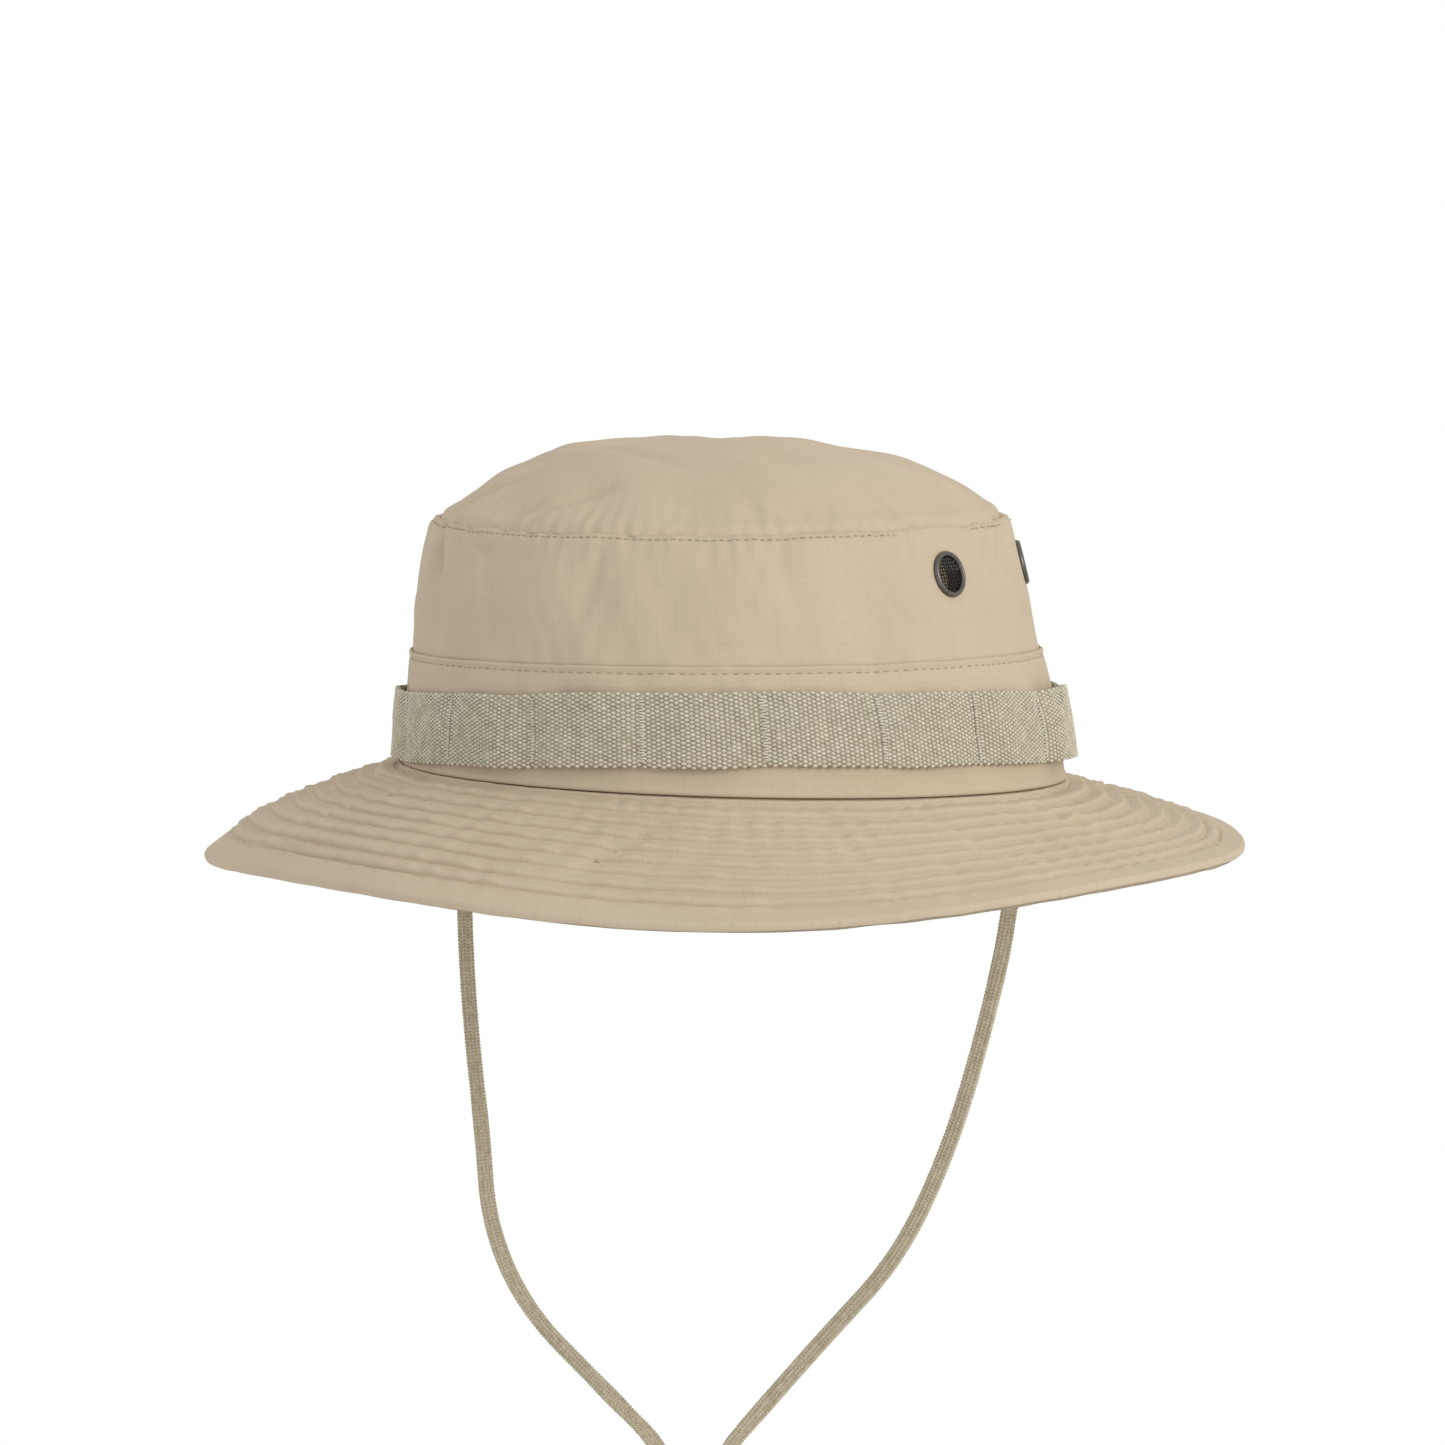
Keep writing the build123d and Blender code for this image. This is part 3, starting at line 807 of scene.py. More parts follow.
# %% Draw the top panel
# Creases of the top panel, from and to as (degrees from the view, share of the way out).
DOME_CREASES = (
    ((-72, 0.99), (-56, 0.70), -1.5, 3.0), ((-40, 0.93), (-26, 0.80), -0.9, 2.6),
    ((-50, 0.98), (-41, 0.90), -0.8, 2.2), ((-62, 0.50), (-4, 0.66), -0.8, 3.4),
    ((42, 0.99), (34, 0.84), -0.7, 2.4), ((78, 0.98), (60, 0.72), -0.9, 3.0),
    ((10, 0.96), (6, 0.80), -0.4, 2.6), ((130, 0.95), (150, 0.5), -1.2, 4.0),
    ((-140, 0.96), (-120, 0.6), -1.1, 4.0), ((20, 0.2), (70, 0.5), -0.6, 4.0),
)


def plan_waves(seed, count, lengths, reach):
    """A field over flat cloth, in mm, of waves that run every way."""
    draw = np.random.default_rng(seed)
    ways = draw.uniform(0, FULL_TURN, count)
    runs = draw.uniform(*lengths, count)
    phases = draw.uniform(0, FULL_TURN, count)

    def field(place):
        total = 0.0
        for way, run, phase in zip(ways, runs, phases):
            along = place[..., 0] * math.cos(way) + place[..., 1] * math.sin(way)
            total = total + np.sin(FULL_TURN * along / run + phase)
        return total * reach / math.sqrt(count)
    return field


dome_slow = plan_waves(21, 8, (60, 130), 0.8)
dome_fine = plan_waves(22, 14, (16, 45), 0.5)


def on_panel(view_angle, share):
    """A place on the flat top panel, in mm, seen from above with the camera below it."""
    radius = TOP_RADIUS * share
    return radius * np.sin(view_angle), -radius * np.cos(view_angle)


def dome_relief(angle, share):
    """How far the top panel's cloth stands off its smooth shape."""
    place = np.stack(np.broadcast_arrays(*on_panel(from_view(angle), share)), axis=-1)
    relief = dome_slow(place) + dome_fine(place)
    relief = relief + CREASE_SHARE * all_creases(place, DOME_CREASES,
                                                 lambda a, t: on_panel(math.radians(a), t))
    from_seam = TOP_RADIUS * (1 - share)
    return relief + beside_seam(from_seam, seam_pucker(angle, -from_seam))


def dome_surface(angle, share, offset=0.0):
    """A point of the top panel, with the cloth's unevenness."""
    point, _, out = frames_on(dome_point, angle, np.maximum(share, 0.01), -SHARE_STEP)
    return point + out * (dome_relief(angle, share) + offset)[..., None]


# %% [markdown]
# ## Seats for the vents
# Each vent clamps the cloth flat between its flange and its washer. Its bore, height and
# place round the crown are read from its screen, which is a flat disc. It goes with the
# soft cloth, so it sits where the wall has drawn in to, and the cloth near it is eased onto
# its plane.

# %% Find the vents and seat the cloth
CORNERS = ("front_right", "front_left", "rear_right", "rear_left")
SEAT_HALF = 1.8                  # half the gathered cloth between flange and washer
SEAT_FLAT = 7.2                  # fully flat within this distance of the axis
SEAT_EASE = 24.0                 # and free again beyond this one
SEAT_REACH = 20.0                # the far side of the crown isn't seated
BARREL_HOLE = 5.7
VENT_UP = 4.0                    # the soft wall has carried each vent up this far
VENT_AROUND = 2.5                # and round by this many degrees


def find_vent(corner):
    """The middle of the cloth in a vent, the way out along its axis, and its bore, in mm."""
    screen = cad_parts[f"vent_screen_{corner}"]
    points = np.array([vertex.co for vertex in screen.data.vertices]) / MM
    middle = (points.max(0) + points.min(0)) / 2
    bore = np.linalg.norm(points - middle, axis=1).max()
    angle = np.array([math.atan2(middle[0], -middle[1] / STRETCH)])
    angle = angle + np.sign(angle) * math.radians(VENT_AROUND)
    place, _, out = frames_on(wall_point, angle, middle[2:] + VENT_UP, NUMERIC_STEP)
    return place[0] - out[0] * SEAT_HALF, out[0], bore


vents = {corner: find_vent(corner) for corner in CORNERS}
for corner, (middle, axis, bore) in vents.items():
    print(corner, np.round(middle, 1), np.round(axis, 3), "bore", round(bore, 2))


def seat_vents(points, face):
    """Ease the wall's outer face (+1) or inner face (-1) onto each vent's plane."""
    for middle, axis, _ in vents.values():
        away = points - middle
        height = away @ axis
        distance = np.linalg.norm(away - height[..., None] * axis, axis=-1)
        hold = (1 - smoothstep(SEAT_FLAT, SEAT_EASE, distance)) * (np.abs(height) < SEAT_REACH)
        points = points + (hold * (face * SEAT_HALF - height))[..., None] * axis
    return points


# %% [markdown]
# ## The crown
# The wall is a strip sewn into a ring, and the top panel is a flat oval that is eased onto
# it. Both are closed skins with an outer and an inner face. The wall is punched where the
# vents go through, as an eyelet press does.

# %% Make the crown
AROUND = 840                     # points round the hat


def stations(count=AROUND):
    """Angles round the hat, as a column."""
    return np.linspace(0, FULL_TURN, count, endpoint=False)[:, None]


def skin(name, surface, outer, inner, thickness, plan_of=None, seat=False, count=AROUND):
    """A closed skin: its outer face at 'outer' stations, its inner face back along 'inner'."""
    angle = stations(count)
    faces = [surface(angle, outer[None, :]), surface(angle, inner[None, ::-1], -thickness)]
    if seat:
        faces = [seat_vents(points, face) for points, face in zip(faces, (1, -1))]
    points = np.concatenate(faces, axis=1)
    around = np.linspace(0, FULL_TURN * WALL_RADIUS * (1 + STRETCH) / 2, count + 1)
    along = np.concatenate([outer, inner[::-1]])
    plan = plan_of(points) if plan_of else strip_plan(around, closed(along))
    return grid_mesh(name, points, plan)


def flat_plan(points):
    """The plan of a panel that is cut flat: its places seen from above."""
    plan = points[..., :2]
    plan = np.concatenate([plan, plan[:1]], axis=0)
    return np.concatenate([plan, plan[:, :1]], axis=1)


def punch(mesh, radius):
    """Cut a round hole through a mesh at each vent."""
    cutters = bmesh.new()
    for middle, axis, _ in vents.values():
        place = Vector(axis).to_track_quat("Z", "Y").to_matrix().to_4x4()
        place.translation = Vector(middle) * MM
        bmesh.ops.create_cone(cutters, cap_ends=True, segments=48, radius1=radius * MM,
                              radius2=radius * MM, depth=12 * MM, matrix=place)
    cutter_mesh = bpy.data.meshes.new("cutters")
    cutters.to_mesh(cutter_mesh)
    cutters.free()
    cloth = bpy.data.objects.new("cloth", mesh)
    cutter = bpy.data.objects.new("cutter", cutter_mesh)
    for holder in (cloth, cutter):
        bpy.context.collection.objects.link(holder)
    cut = cloth.modifiers.new("punch", "BOOLEAN")
    cut.operation = "DIFFERENCE"
    cut.object = cutter
    bpy.context.view_layer.update()
    shaped = cloth.evaluated_get(bpy.context.evaluated_depsgraph_get())
    made = bpy.data.meshes.new_from_object(shaped)
    for holder, old in ((cloth, mesh), (cutter, cutter_mesh)):
        bpy.data.objects.remove(holder)
        bpy.data.meshes.remove(old)
    return made


wall = skin("wall", wall_surface, np.linspace(0, TOP_SEAM, 76), np.linspace(0, TOP_SEAM, 20),
            CLOTH, seat=True)
crown_wall = add_piece("crown_wall", [punch(wall, BARREL_HOLE)], ripstop, "hat",
                       ["crown_side"])
share_out = 1 - np.linspace(0, 1, 64) ** 1.2
top = skin("top", dome_surface, share_out, 1 - np.linspace(0, 1, 16), CLOTH, plan_of=flat_plan)
crown_panel = add_piece("crown_top_panel", [top], ripstop, "hat", ["crown_top"])

# %% [markdown]
# ## The band and the inside of the crown
# A second strip of ripstop goes round the foot of the crown. Its top edge is folded under
# and stitched, which leaves a fine ridge. Inside, a soft tape takes the sweat and covers the
# brim's raw edge, and a blank care label is sewn to it at the back.

# %% Make the band, the sweatband and the label
BAND_THICKNESS = 0.6
BAND_STITCH = 1.9                # stitch line below the band's top edge
TAPE_THICKNESS = 1.5
LAY_GAP = 0.1                    # air between two layers
LABEL_SIZE = (34.0, 20.0)
LABEL_BASE = 6.0
LABEL_THICKNESS = 0.25


def band_surface(angle, height, offset=0.0):
    """The outside of the band, with its folded edge and its stitch line."""
    below = BAND_TOP - height
    fold = 0.4 * np.exp(-((below - 0.7) / 0.7) ** 2)
    fold = fold - 0.3 * np.exp(-((below - BAND_STITCH) / 0.5) ** 2)
    foot = 0.5 * np.exp(-((height - 0.9) / 0.9) ** 2)
    return wall_surface(angle, height, LAY_GAP + BAND_THICKNESS + fold + foot + offset)


def sweat_surface(angle, height, offset=0.0):
    """The side of the sweatband that lies against the crown."""
    return wall_surface(angle, height, -CLOTH - LAY_GAP + offset)


band = skin("band", band_surface, np.linspace(0, BAND_TOP, 52), np.linspace(0, BAND_TOP, 10),
            BAND_THICKNESS)
band_piece = add_piece("crown_band_cloth", [band], ripstop, "hat", ["crown_band"])
sweat_heights = np.linspace(sweat_low.z, sweat_high.z, 26)
sweat = skin("sweat", sweat_surface, sweat_heights, sweat_heights, TAPE_THICKNESS, count=360)
sweat_piece = add_piece("sweatband_tape", [sweat], tape, "hat", ["sweatband"])


def label_mesh():
    """A thin patch on the inside of the sweatband, closed at its edges."""
    half = LABEL_SIZE[0] / 2 / (WALL_RADIUS * STRETCH)
    angle = math.pi + np.linspace(-half, half, 30)
    height = LABEL_BASE + np.linspace(0, LABEL_SIZE[1], 14)
    rim = np.ones((30, 14))
    rim[0], rim[-1], rim[:, 0], rim[:, -1] = 0, 0, 0, 0
    base = -CLOTH - 2 * LAY_GAP - TAPE_THICKNESS
    near, far = (wall_surface(angle[:, None], height[None, :], base - depth * rim)
                 for depth in (LABEL_THICKNESS, 0.0))
    points = np.concatenate([near, far[:, ::-1]], axis=1)
    along = np.concatenate([height, height[::-1]])
    return grid_mesh("label", points, strip_plan(np.linspace(0, LABEL_SIZE[0], 30), closed(along)),
                     close_rows=False)


label_piece = add_piece("blank_care_label", [label_mesh()], label_tape, "hat", ["care_label"])

# %% [markdown]
# ## The brim
# The brim is two ripstop panels with a stiff layer between them, held together by rows of
# stitches that run right round. The cloth swells between the rows, and swells most just
# before the next row, because the rows are sewn from the crown outwards and push the cloth
# ahead of them. The edge is turned in, so it is smooth and round.

# %% Draw the brim
BRIM_WIDTH = 60.0                # along the slope, seam to edge
BRIM_DROP = 21.75                # mean height lost from seam to edge
BRIM_WAVES = ((1, -1.5, 1.4), (2, -2.75, -1.2), (4, -2.0, 0.0))   # waves per turn, cos, sin
BRIM_REACH = 0.975               # the sewing draws the brim in by this share
BRIM_LEAN = 2.7                  # how far its edge has moved across the view
BRIM_THICKNESS = 2.4
BRIM_ROOT = WALL_RADIUS - 0.4
FIRST_ROW = 2.5
ROW_PITCH = 6.3
ROW_COUNT = 8
HEM_ROW = 51.5
SWELL = 1.1                      # how far the cloth swells between two rows
EDGE_ROUND = 1.3
BRIM_MM_PER_DEGREE = WALL_MM_PER_DEGREE * 1.3
CORE_DEPTH = 0.8                 # the stiffening's top, under the brim's smooth top
UPPER_ROLL = 2.1                 # the top panel is turned under at the edge, and covers
LOWER_ROLL = 0.3                 # the under panel, which stops short of it
UNDER_SHARE = 0.983
INNER_SHARE = 0.5                # a panel's inner face has this much of its unevenness
UNDER_SHIFT = 2.0                # the under panel's waves start elsewhere, in radians

row_wander = waves(41, 8, (5, 26), (60, 160), 0.18)
brim_pucker = waves(42, 24, (55, 120), (20, 80), 0.18)
brim_slow = waves(43, 10, (4, 16), (40, 120), 0.12)
swell_change = waves(44, 12, (12, 60), (10, 40), 0.22)
GROOVE_DEPTH = 1.1              # each stitch row pulls the cloth down this far
GROOVE_WIDTH = 0.5
SWELL_LEAN = 2.4                 # above 1, the cloth swells most near the next row
# Creases across the brim, from and to as (degrees from the view, distance from the seam).
BRIM_CREASES = (
    ((-56, 3), (-62, 38), -0.9, 3.2), ((-48, 2), (-52, 24), -0.6, 2.6),
    ((-9, 12), (-19, 47), -1.1, 3.2), ((14, 6), (20, 44), -0.4, 4.0),
    ((-34, 14), (-38, 44), -0.5, 4.0), ((33, 8), (38, 40), -0.5, 3.6),
    ((52, 4), (60, 40), -0.6, 3.4), ((100, 6), (112, 46), -0.7, 4.0),
    ((170, 6), (160, 46), -0.6, 4.0), ((-120, 6), (-132, 46), -0.7, 4.0),
)


def oval_out(angle):
    """The level outward direction of the oval."""
    return unit(np.stack([np.sin(angle), -np.cos(angle) / STRETCH, 0 * angle], axis=-1))


def brim_point(angle, along):
    """A point on the smooth top of the brim, this far down its slope from the seam."""
    view_angle = from_view(angle)
    lift = sum(c * np.cos(n * view_angle) + s * np.sin(n * view_angle) for n, c, s in BRIM_WAVES)
    fall = BRIM_DROP - lift
    share = np.maximum(along, 0) / BRIM_WIDTH
    reach = BRIM_REACH * np.sqrt(BRIM_WIDTH ** 2 - fall ** 2) * along / BRIM_WIDTH
    side = np.sin(view_angle)
    curl = 0.1 + 0.05 * side ** 2 - 0.115 * side
    bend = 1.0 - 0.15 * np.cos(view_angle) - 0.08 * side - 0.07 * side ** 2
    root = root_height(angle)
    height = root - (root + fall) * ((1 - curl) * share ** bend + curl * share ** 6)
    level = oval(BRIM_ROOT, angle, 0) + oval_out(angle + 0 * along) * reach[..., None]
    level = level - VIEW_SIDEWAYS * (BRIM_LEAN * share + 0 * angle)[..., None]
    return level + height[..., None] * np.array([0, 0, 1.0])


def row_place(number, angle):
    """How far from the seam a stitch row runs: it wanders a little."""
    base = HEM_ROW if number == ROW_COUNT else FIRST_ROW + ROW_PITCH * number
    return base + row_wander(angle, 11.0 * number)


def brim_relief(angle, along, shift=0.0):
    """How far the panel's cloth stands off the brim's smooth top; shift picks other waves."""
    relief = brim_pucker(angle + shift, along) + brim_slow(angle + shift, along)
    relief = relief * (1 - smoothstep(HEM_ROW, HEM_ROW + 5, along))
    edges = [row_place(number, angle) for number in range(ROW_COUNT + 1)]
    edges = [0 * angle - 1.5] + edges + [0 * angle + BRIM_WIDTH + 3]
    for low, high in zip(edges, edges[1:]):
        share = np.clip((along - low) / (high - low), 0, 1)
        swell = SWELL * (1 + swell_change(angle + shift, low)) * np.sin(math.pi * share ** SWELL_LEAN)
        relief = relief + swell * np.where(high - low > 1.3 * ROW_PITCH, 0.5, 1.0)
        relief = relief - GROOVE_DEPTH * np.exp(-((along - low) / GROOVE_WIDTH) ** 2)
    round_brim = view_degrees(angle) * BRIM_MM_PER_DEGREE
    place = np.stack(np.broadcast_arrays(round_brim, along), axis=-1)
    relief = relief + all_creases(place, BRIM_CREASES, lambda a, s: (a * BRIM_MM_PER_DEGREE, s))
    return relief * smoothstep(0, 3, along)


def edge_roll(along, depth):
    """How far a panel has turned in towards the other one at the brim's edge."""
    share = np.clip((along - BRIM_WIDTH + EDGE_ROUND) / EDGE_ROUND, 0, 1)
    return depth * (1 - np.sqrt(1 - share ** 2))


def brim_layer(angle, along, above):
    """A layer of the brim, this far above its smooth top."""
    point, _, down = frames_on(brim_point, angle, along, NUMERIC_STEP)
    return point - down * (above + 0 * along)[..., None]


def brim_upper_surface(angle, along, offset=0.0):
    """The top face of the brim."""
    stand = brim_relief(angle, along) * (INNER_SHARE if offset < 0 else 1.0)
    return brim_layer(angle, along, stand - edge_roll(along, UPPER_ROLL) + offset)


def brim_lower_surface(angle, along, offset=0.0):
    """The bottom face of the brim; offset is counted down from it."""
    stand = brim_relief(angle, along, UNDER_SHIFT) * (INNER_SHARE if offset < 0 else 1.0)
    below = BRIM_THICKNESS + stand - edge_roll(along, LOWER_ROLL) + offset
    return brim_layer(angle, along, -below)


def interlining_surface(angle, along, offset=0.0):
    """The top of the stiff layer between the two panels."""
    return brim_layer(angle, along, offset - CORE_DEPTH)


# %% Make the brim
SKIN = 0.5                       # thickness of a panel
CORE_THICKNESS = 0.9
row_steps = np.array([-2.6, -1.6, -0.85, -0.5, -0.25, 0.0, 0.25, 0.5, 0.85, 1.6, 2.6])
row_bases = [FIRST_ROW + ROW_PITCH * number for number in range(ROW_COUNT)] + [HEM_ROW]
slope = np.unique(np.concatenate([[0.0], *(base + row_steps for base in row_bases[:-1]),
                                  HEM_ROW + row_steps[3:], [55.6, 57.2, 58.4]]).clip(0))
roll_in = BRIM_WIDTH - EDGE_ROUND * (1 - np.sin(np.linspace(0.15, math.pi / 2, 8)))
slope = np.concatenate([slope[slope < roll_in[0]], roll_in])
under = np.linspace(0, 57.5, 10)
print("stations down the brim", len(slope) + len(under))
for name, surface, node, reach in (
        ("brim_top_panel", brim_upper_surface, "brim_upper", 1.0),
        ("brim_under_panel", brim_lower_surface, "brim_lower", UNDER_SHARE)):
    panel = skin(name, surface, slope * reach, under, SKIN, plan_of=flat_plan, count=840)
    add_piece(name, [panel], ripstop, "hat", [node])
core_slope = np.linspace(0, 57, 20)
core = skin("core", interlining_surface, core_slope, core_slope, CORE_THICKNESS,
            plan_of=flat_plan, count=240)
stiffening = add_piece("brim_stiffening", [core], canvas, "hat", ["brim_interlining"])

# %% [markdown]
# ## The foliage webbing
# One strip of coarse webbing is sewn down by short dense bars, and between two bars it
# stands off a little, so that grass or leaves can be pushed behind it. Each loop is a
# little different, and one at the side has been pulled well out. Its weave is short fat
# yarns in columns, every second column half a stitch lower.

# %% Make the webbing
LOOP_COUNT = 18
FIRST_TACK = math.radians(11)    # from the front to the first bar
TACK_PITCH = FULL_TURN / LOOP_COUNT
WEBBING = 1.4
GROUND_DEPTH = 0.55              # the ground of the weave lies this far under its beads
WEAVE_BEAD = (1.62, 0.98, 0.95)
BEAD_SINK = 0.42
WEAVE_COLUMN = 1.37
WEAVE_ROW = 1.09
draw = np.random.default_rng(17)
loop_bow = draw.uniform(0.6, 1.6, LOOP_COUNT)
loop_bow[4] = 4.0                # the loop that was pulled out
loop_bow[14] = 1.9
web_wander = waves(51, 6, (6, 20), (200, 400), 0.25)


def web_stand(angle):
    """How far the webbing stands off the band: nothing at a bar, most between two."""
    place = ((angle - FIRST_TACK) / TACK_PITCH) % LOOP_COUNT
    number = np.floor(place).astype(int) % LOOP_COUNT
    share = place - np.floor(place)
    return loop_bow[number] * (1 - np.abs(2 * share - 1) ** 2.6)


def web_surface(angle, height, offset=0.0):
    """The outside of the webbing. It runs higher at the front and back than at the sides."""
    view_angle = from_view(angle)
    level = 1.9 * np.cos(2 * view_angle) + 0.4 * np.cos(view_angle) + web_wander(angle, 0)
    stand = LAY_GAP * 2 + BAND_THICKNESS + WEBBING + web_stand(angle)
    return wall_surface(angle, height + level - foot_share(height) * root_height(angle),
                        stand + offset)


web_heights = np.linspace(web_low.z + 0.2, web_high.z - 0.2, 16)
ground = skin("ground", lambda a, z, o=0.0: web_surface(a, z, o - GROUND_DEPTH), web_heights,
              web_heights, WEBBING - GROUND_DEPTH)
web_piece = add_piece("webbing_ground", [ground], webbing_ground, "hat", ["foliage_webbing"])


def weave_beads():
    """Beads of the webbing's face: columns round the hat, each second one half a row lower."""
    length = FULL_TURN * WALL_RADIUS * math.sqrt((1 + STRETCH ** 2) / 2)
    columns = 2 * round(length / WEAVE_COLUMN / 2)
    rows = int((web_high.z - web_low.z) / WEAVE_ROW)
    angle = np.linspace(0, FULL_TURN, columns, endpoint=False)[:, None]
    step = np.arange(rows)[None, :] + 0.25 + 0.5 * (np.arange(columns) % 2)[:, None]
    height = web_low.z + WEAVE_ROW * step
    point, around, out = frames_on(web_surface, angle + 0 * height, height, 0.2)
    return bead_mesh(point - out * BEAD_SINK, around, out, WEAVE_BEAD, webbing_yarn, 0.12)


weave_piece = add_piece("webbing_weave", [weave_beads()], webbing_yarn, "hat")

# %% [markdown]
# ## The sewing
# Every seam is a row of short stitches sunk into the cloth: the top seam, the band's edge,
# the rows of the brim above and below, and the dense bars on the webbing. They are all the
# same bead at different sizes, laid where the seams run.

# %% Lay the stitches


SAMPLE = (np.array([0.8]), np.array([20.0]))     # a place that tells how long a row is
TACK_STITCHES, TACK_PITCH_UP = 23, 0.75
TACK_BEAD = (1.9, 0.72, 0.5)


def stitch_row(surface, along, pitch, size, outwards=1):
    """One row of stitches round the hat on a surface, at 'along' (a value or a function)."""
    count = round(FULL_TURN * np.linalg.norm(surface(*SAMPLE)[0, :2]) / pitch)
    angle = np.linspace(0, FULL_TURN, count, endpoint=False)
    place = along(angle) if callable(along) else along + 0 * angle
    point, around, out = frames_on(surface, angle, place, NUMERIC_STEP)
    out = outwards * out
    return bead_mesh(point + out * LAY_GAP, around, out, size, thread)


def tack_beads():
    """The dense stitches of the bars that hold the webbing down."""
    angle = FIRST_TACK + TACK_PITCH * np.arange(LOOP_COUNT)[:, None]
    middle = (web_low.z + web_high.z) / 2
    step = np.arange(TACK_STITCHES)[None, :] - TACK_STITCHES // 2
    height = middle + step * TACK_PITCH_UP
    point, around, out = frames_on(web_surface, angle + 0 * height, height, 0.2)
    return bead_mesh(point + out * LAY_GAP / 2, around, out, TACK_BEAD, webbing_yarn)


# The thread's darker tone is partly painted shade in the stitched grooves.
seam_row = stitch_row(wall_surface, TOP_SEAM - 1.5, 2.5, (1.7, 0.5, 0.4))
band_row = stitch_row(band_surface, BAND_TOP - BAND_STITCH, 3.0, (2.1, 0.5, 0.4))
seam_piece = add_piece("top_seam_stitches", [seam_row], thread, "hat")
edge_piece = add_piece("band_edge_stitches", [band_row], thread, "hat")
tack_piece = add_piece("bar_tack_stitches", [tack_beads()], webbing_yarn, "hat",
                       ["webbing_bartacks"])
for name, surface, sign in (("brim_top_stitches", brim_upper_surface, -1),
                            ("brim_under_stitches", brim_lower_surface, 1)):
    rows = [stitch_row(surface, lambda a, n=number: row_place(n, a), 3.6, (2.5, 0.55, 0.42),
                       outwards=sign) for number in range(ROW_COUNT + 1)]
    add_piece(name, rows, thread, "hat")

# %% [markdown]
# ## The vents
# Each vent is a turned brass ring with a rolled rim, closed over a washer inside, with a
# woven wire screen across its bore. The ring is a lathe shape, so it is one outline taken
# round the vent's axis. The wires go over and under each other in turn.

# %% Make the vents
FLANGE_RADIUS = 6.5
RIM_HEIGHT = 1.15
BARREL_RADIUS = 5.5
WIRE_PITCH = 0.95
WIRE_RADIUS = 0.17
WIRE_SWAY = 0.15                 # how far a wire goes over and under
SCREEN_DEPTH = 0.2               # under the cloth's outer face
BARREL_PAST = 0.7                # past the cloth's inner face, rolled over the washer
RIM_LIFT = 0.1
WASHER_THICKNESS = 0.6
WASHER_EDGE = 0.12


def vent_axes(axis):
    """Two directions across a vent."""
    first = unit(np.cross([0, 0, 1.0], axis))
    return first, np.cross(axis, first)


def turned(outline, middle, axis):
    """A ring turned round a vent's axis, from a closed outline of (radius, height)."""
    across_one, across_two = vent_axes(axis)
    angle = np.linspace(0, FULL_TURN, 72, endpoint=False)[:, None, None]
    radial = np.cos(angle) * across_one + np.sin(angle) * across_two
    points = middle + radial * outline[None, :, :1] + axis * outline[None, :, 1:]
    plan = strip_plan(np.linspace(0, 40, 73), np.linspace(0, 20, len(outline) + 1))
    return grid_mesh("ring", points, plan)


def vent_ring(middle, axis, bore):
    """The ring: a rolled rim over the cloth and a barrel through it."""
    half = (FLANGE_RADIUS - bore) / 2
    roll = np.linspace(0, math.pi, 14)
    base, foot = SEAT_HALF + RIM_LIFT, -SEAT_HALF - BARREL_PAST
    rim = np.stack([bore + half + half * np.cos(roll), base + RIM_HEIGHT * np.sin(roll)], -1)
    barrel = np.array([[bore, foot], [BARREL_RADIUS, foot], [BARREL_RADIUS, base]])
    return turned(np.concatenate([rim, barrel]), middle, axis)


def washer_ring(middle, axis):
    """The flat washer inside the crown, with its edges broken."""
    inner, outer = BARREL_RADIUS + LAY_GAP, FLANGE_RADIUS
    near, far = -SEAT_HALF - LAY_GAP / 2, -SEAT_HALF - WASHER_THICKNESS
    edge = WASHER_EDGE
    outline = np.array([[inner, near], [outer - edge, near], [outer, near - edge],
                        [outer, far + edge], [outer - edge, far], [inner, far]])
    return turned(outline[::-1], middle, axis)


def wire_mesh(middle, run, aside, axis, offset, half, phase):
    """One wire of the screen, which goes over and under the ones that cross it."""
    place = np.linspace(-half, half, max(9, int(half * 8)))
    height = SEAT_HALF - SCREEN_DEPTH + WIRE_SWAY * np.sin(math.pi * place / WIRE_PITCH + phase)
    line = middle + aside * offset + run * place[:, None] + axis * height[:, None]
    ring = np.linspace(0, FULL_TURN, 6, endpoint=False)
    section = WIRE_RADIUS * (np.cos(ring)[:, None] * aside + np.sin(ring)[:, None] * axis)
    ends = [np.repeat(end[None, None], 6, 1) for end in (line[0], line[-1])]
    points = np.concatenate([ends[0], line[:, None] + section[None], ends[1]])
    return grid_mesh("wire", points, strip_plan(np.arange(len(points)), np.arange(7)),
                     close_rows=False)


def vent_screen(middle, axis, bore):
    """A woven wire screen across the bore."""
    edge = bore - 0.05
    count = int(edge / WIRE_PITCH)
    first, second = vent_axes(axis)
    wires = []
    for run, aside, start in ((first, second, 0.0), (second, first, math.pi)):
        for number in range(-count, count + 1):
            offset = number * WIRE_PITCH
            half = math.sqrt(edge ** 2 - offset ** 2)
            phase = start + math.pi / 2 + math.pi * number
            wires.append(wire_mesh(middle, run, aside, axis, offset, half, phase))
    return wires


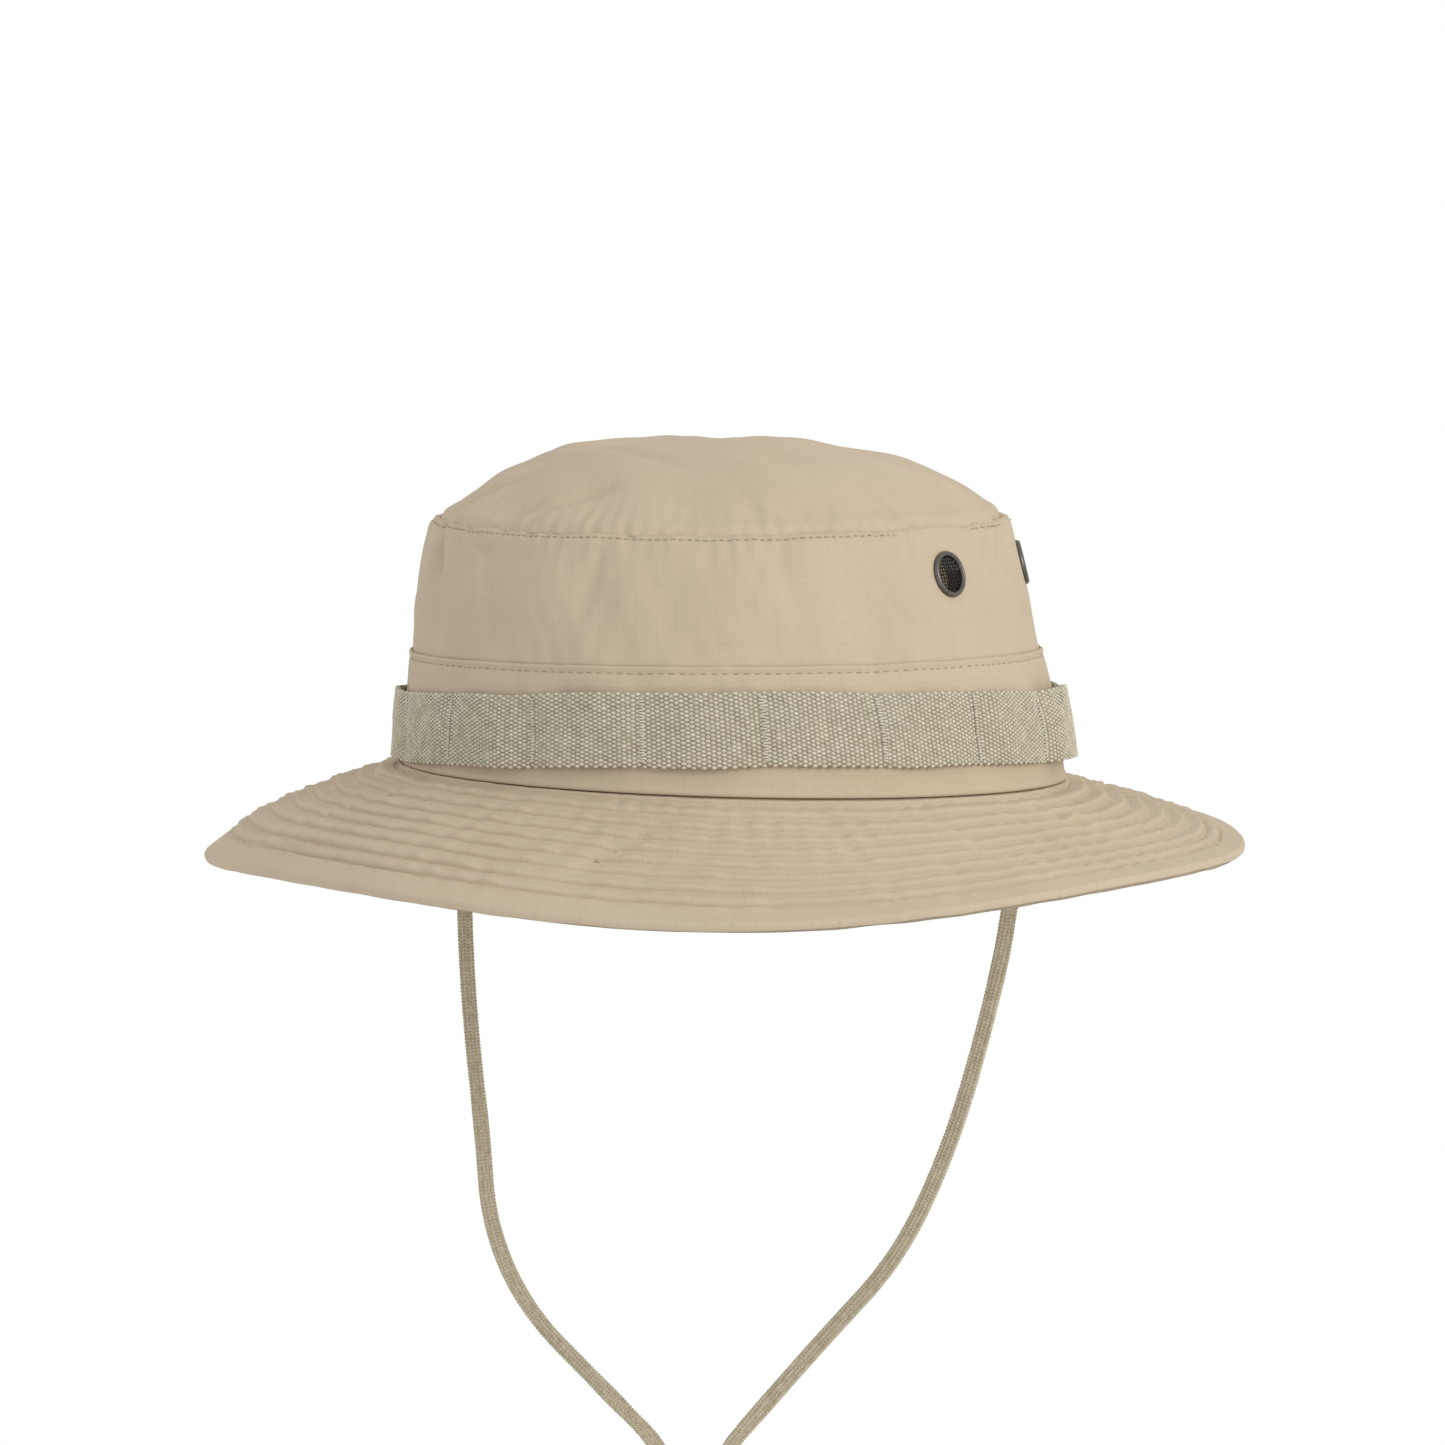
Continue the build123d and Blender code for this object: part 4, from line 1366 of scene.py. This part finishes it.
for corner, (middle, axis, bore) in vents.items():
    for name, meshes, node in (("ring", [vent_ring(middle, axis, bore)], "shell"),
                               ("wire", vent_screen(middle, axis, bore), "screen"),
                               ("washer_ring", [washer_ring(middle, axis)], "washer")):
        finish = screen_wire if name == "wire" else blackened_metal
        add_piece(f"vent_{name}_{corner}", meshes, finish, "hat",
                                     [f"vent_{node}_{corner}"])

# %% [markdown]
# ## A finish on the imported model's own piece
# The leather keeper is rigid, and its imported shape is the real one, so it only needs a
# finish.

# %% Finish the keeper
keeper_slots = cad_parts["cord_keeper"].data.materials
if not keeper_slots:
    keeper_slots.append(leather)
for index in range(len(keeper_slots)):
    keeper_slots[index] = leather

# %% [markdown]
# ## Light
# A product picture on white: a bright surround for soft shadows, and one large lamp from
# the upper right that shapes the folds. The surround is plain white to the camera.

# %% Set the light
SURROUND = 0.80
KEY_TURN = 50                    # degrees to the right of the camera
KEY_LIFT = 18
KEY_DISTANCE = 1.6
KEY_SIZE = 0.6
KEY_POWER = 8.0
KEY_COLOUR = (1.0, 0.97, 0.93)   # a little warm

scene = bpy.context.scene
scene.view_settings.view_transform = "Standard"
world = bpy.data.worlds.new("white_surround")
scene.world = world
world.use_nodes = True
sky = world.node_tree
sky.nodes.clear()
seen = add_node(sky, "ShaderNodeLightPath").outputs["Is Camera Ray"]
strength = math_node(sky, "MULTIPLY_ADD", seen, 1.0 - SURROUND, SURROUND)
white = add_node(sky, "ShaderNodeBackground", {"Color": (1, 1, 1, 1), "Strength": strength})
add_node(sky, "ShaderNodeOutputWorld", {"Surface": white.outputs[0]})

key_data = bpy.data.lights.new("key", "AREA")
key_data.energy = KEY_POWER
key_data.size = KEY_SIZE
key_data.color = KEY_COLOUR
stand_looking("key", key_data, VIEW_TURN + KEY_TURN, KEY_LIFT, KEY_DISTANCE)

# %% [markdown]
# ## The cords' lines
# Each strand of the chin cord has its line of points turned into a plain list.

lines = {"left": left_line, "right": right_line}
for side_name, piece in strands.items():
    line = lines[side_name].tolist()
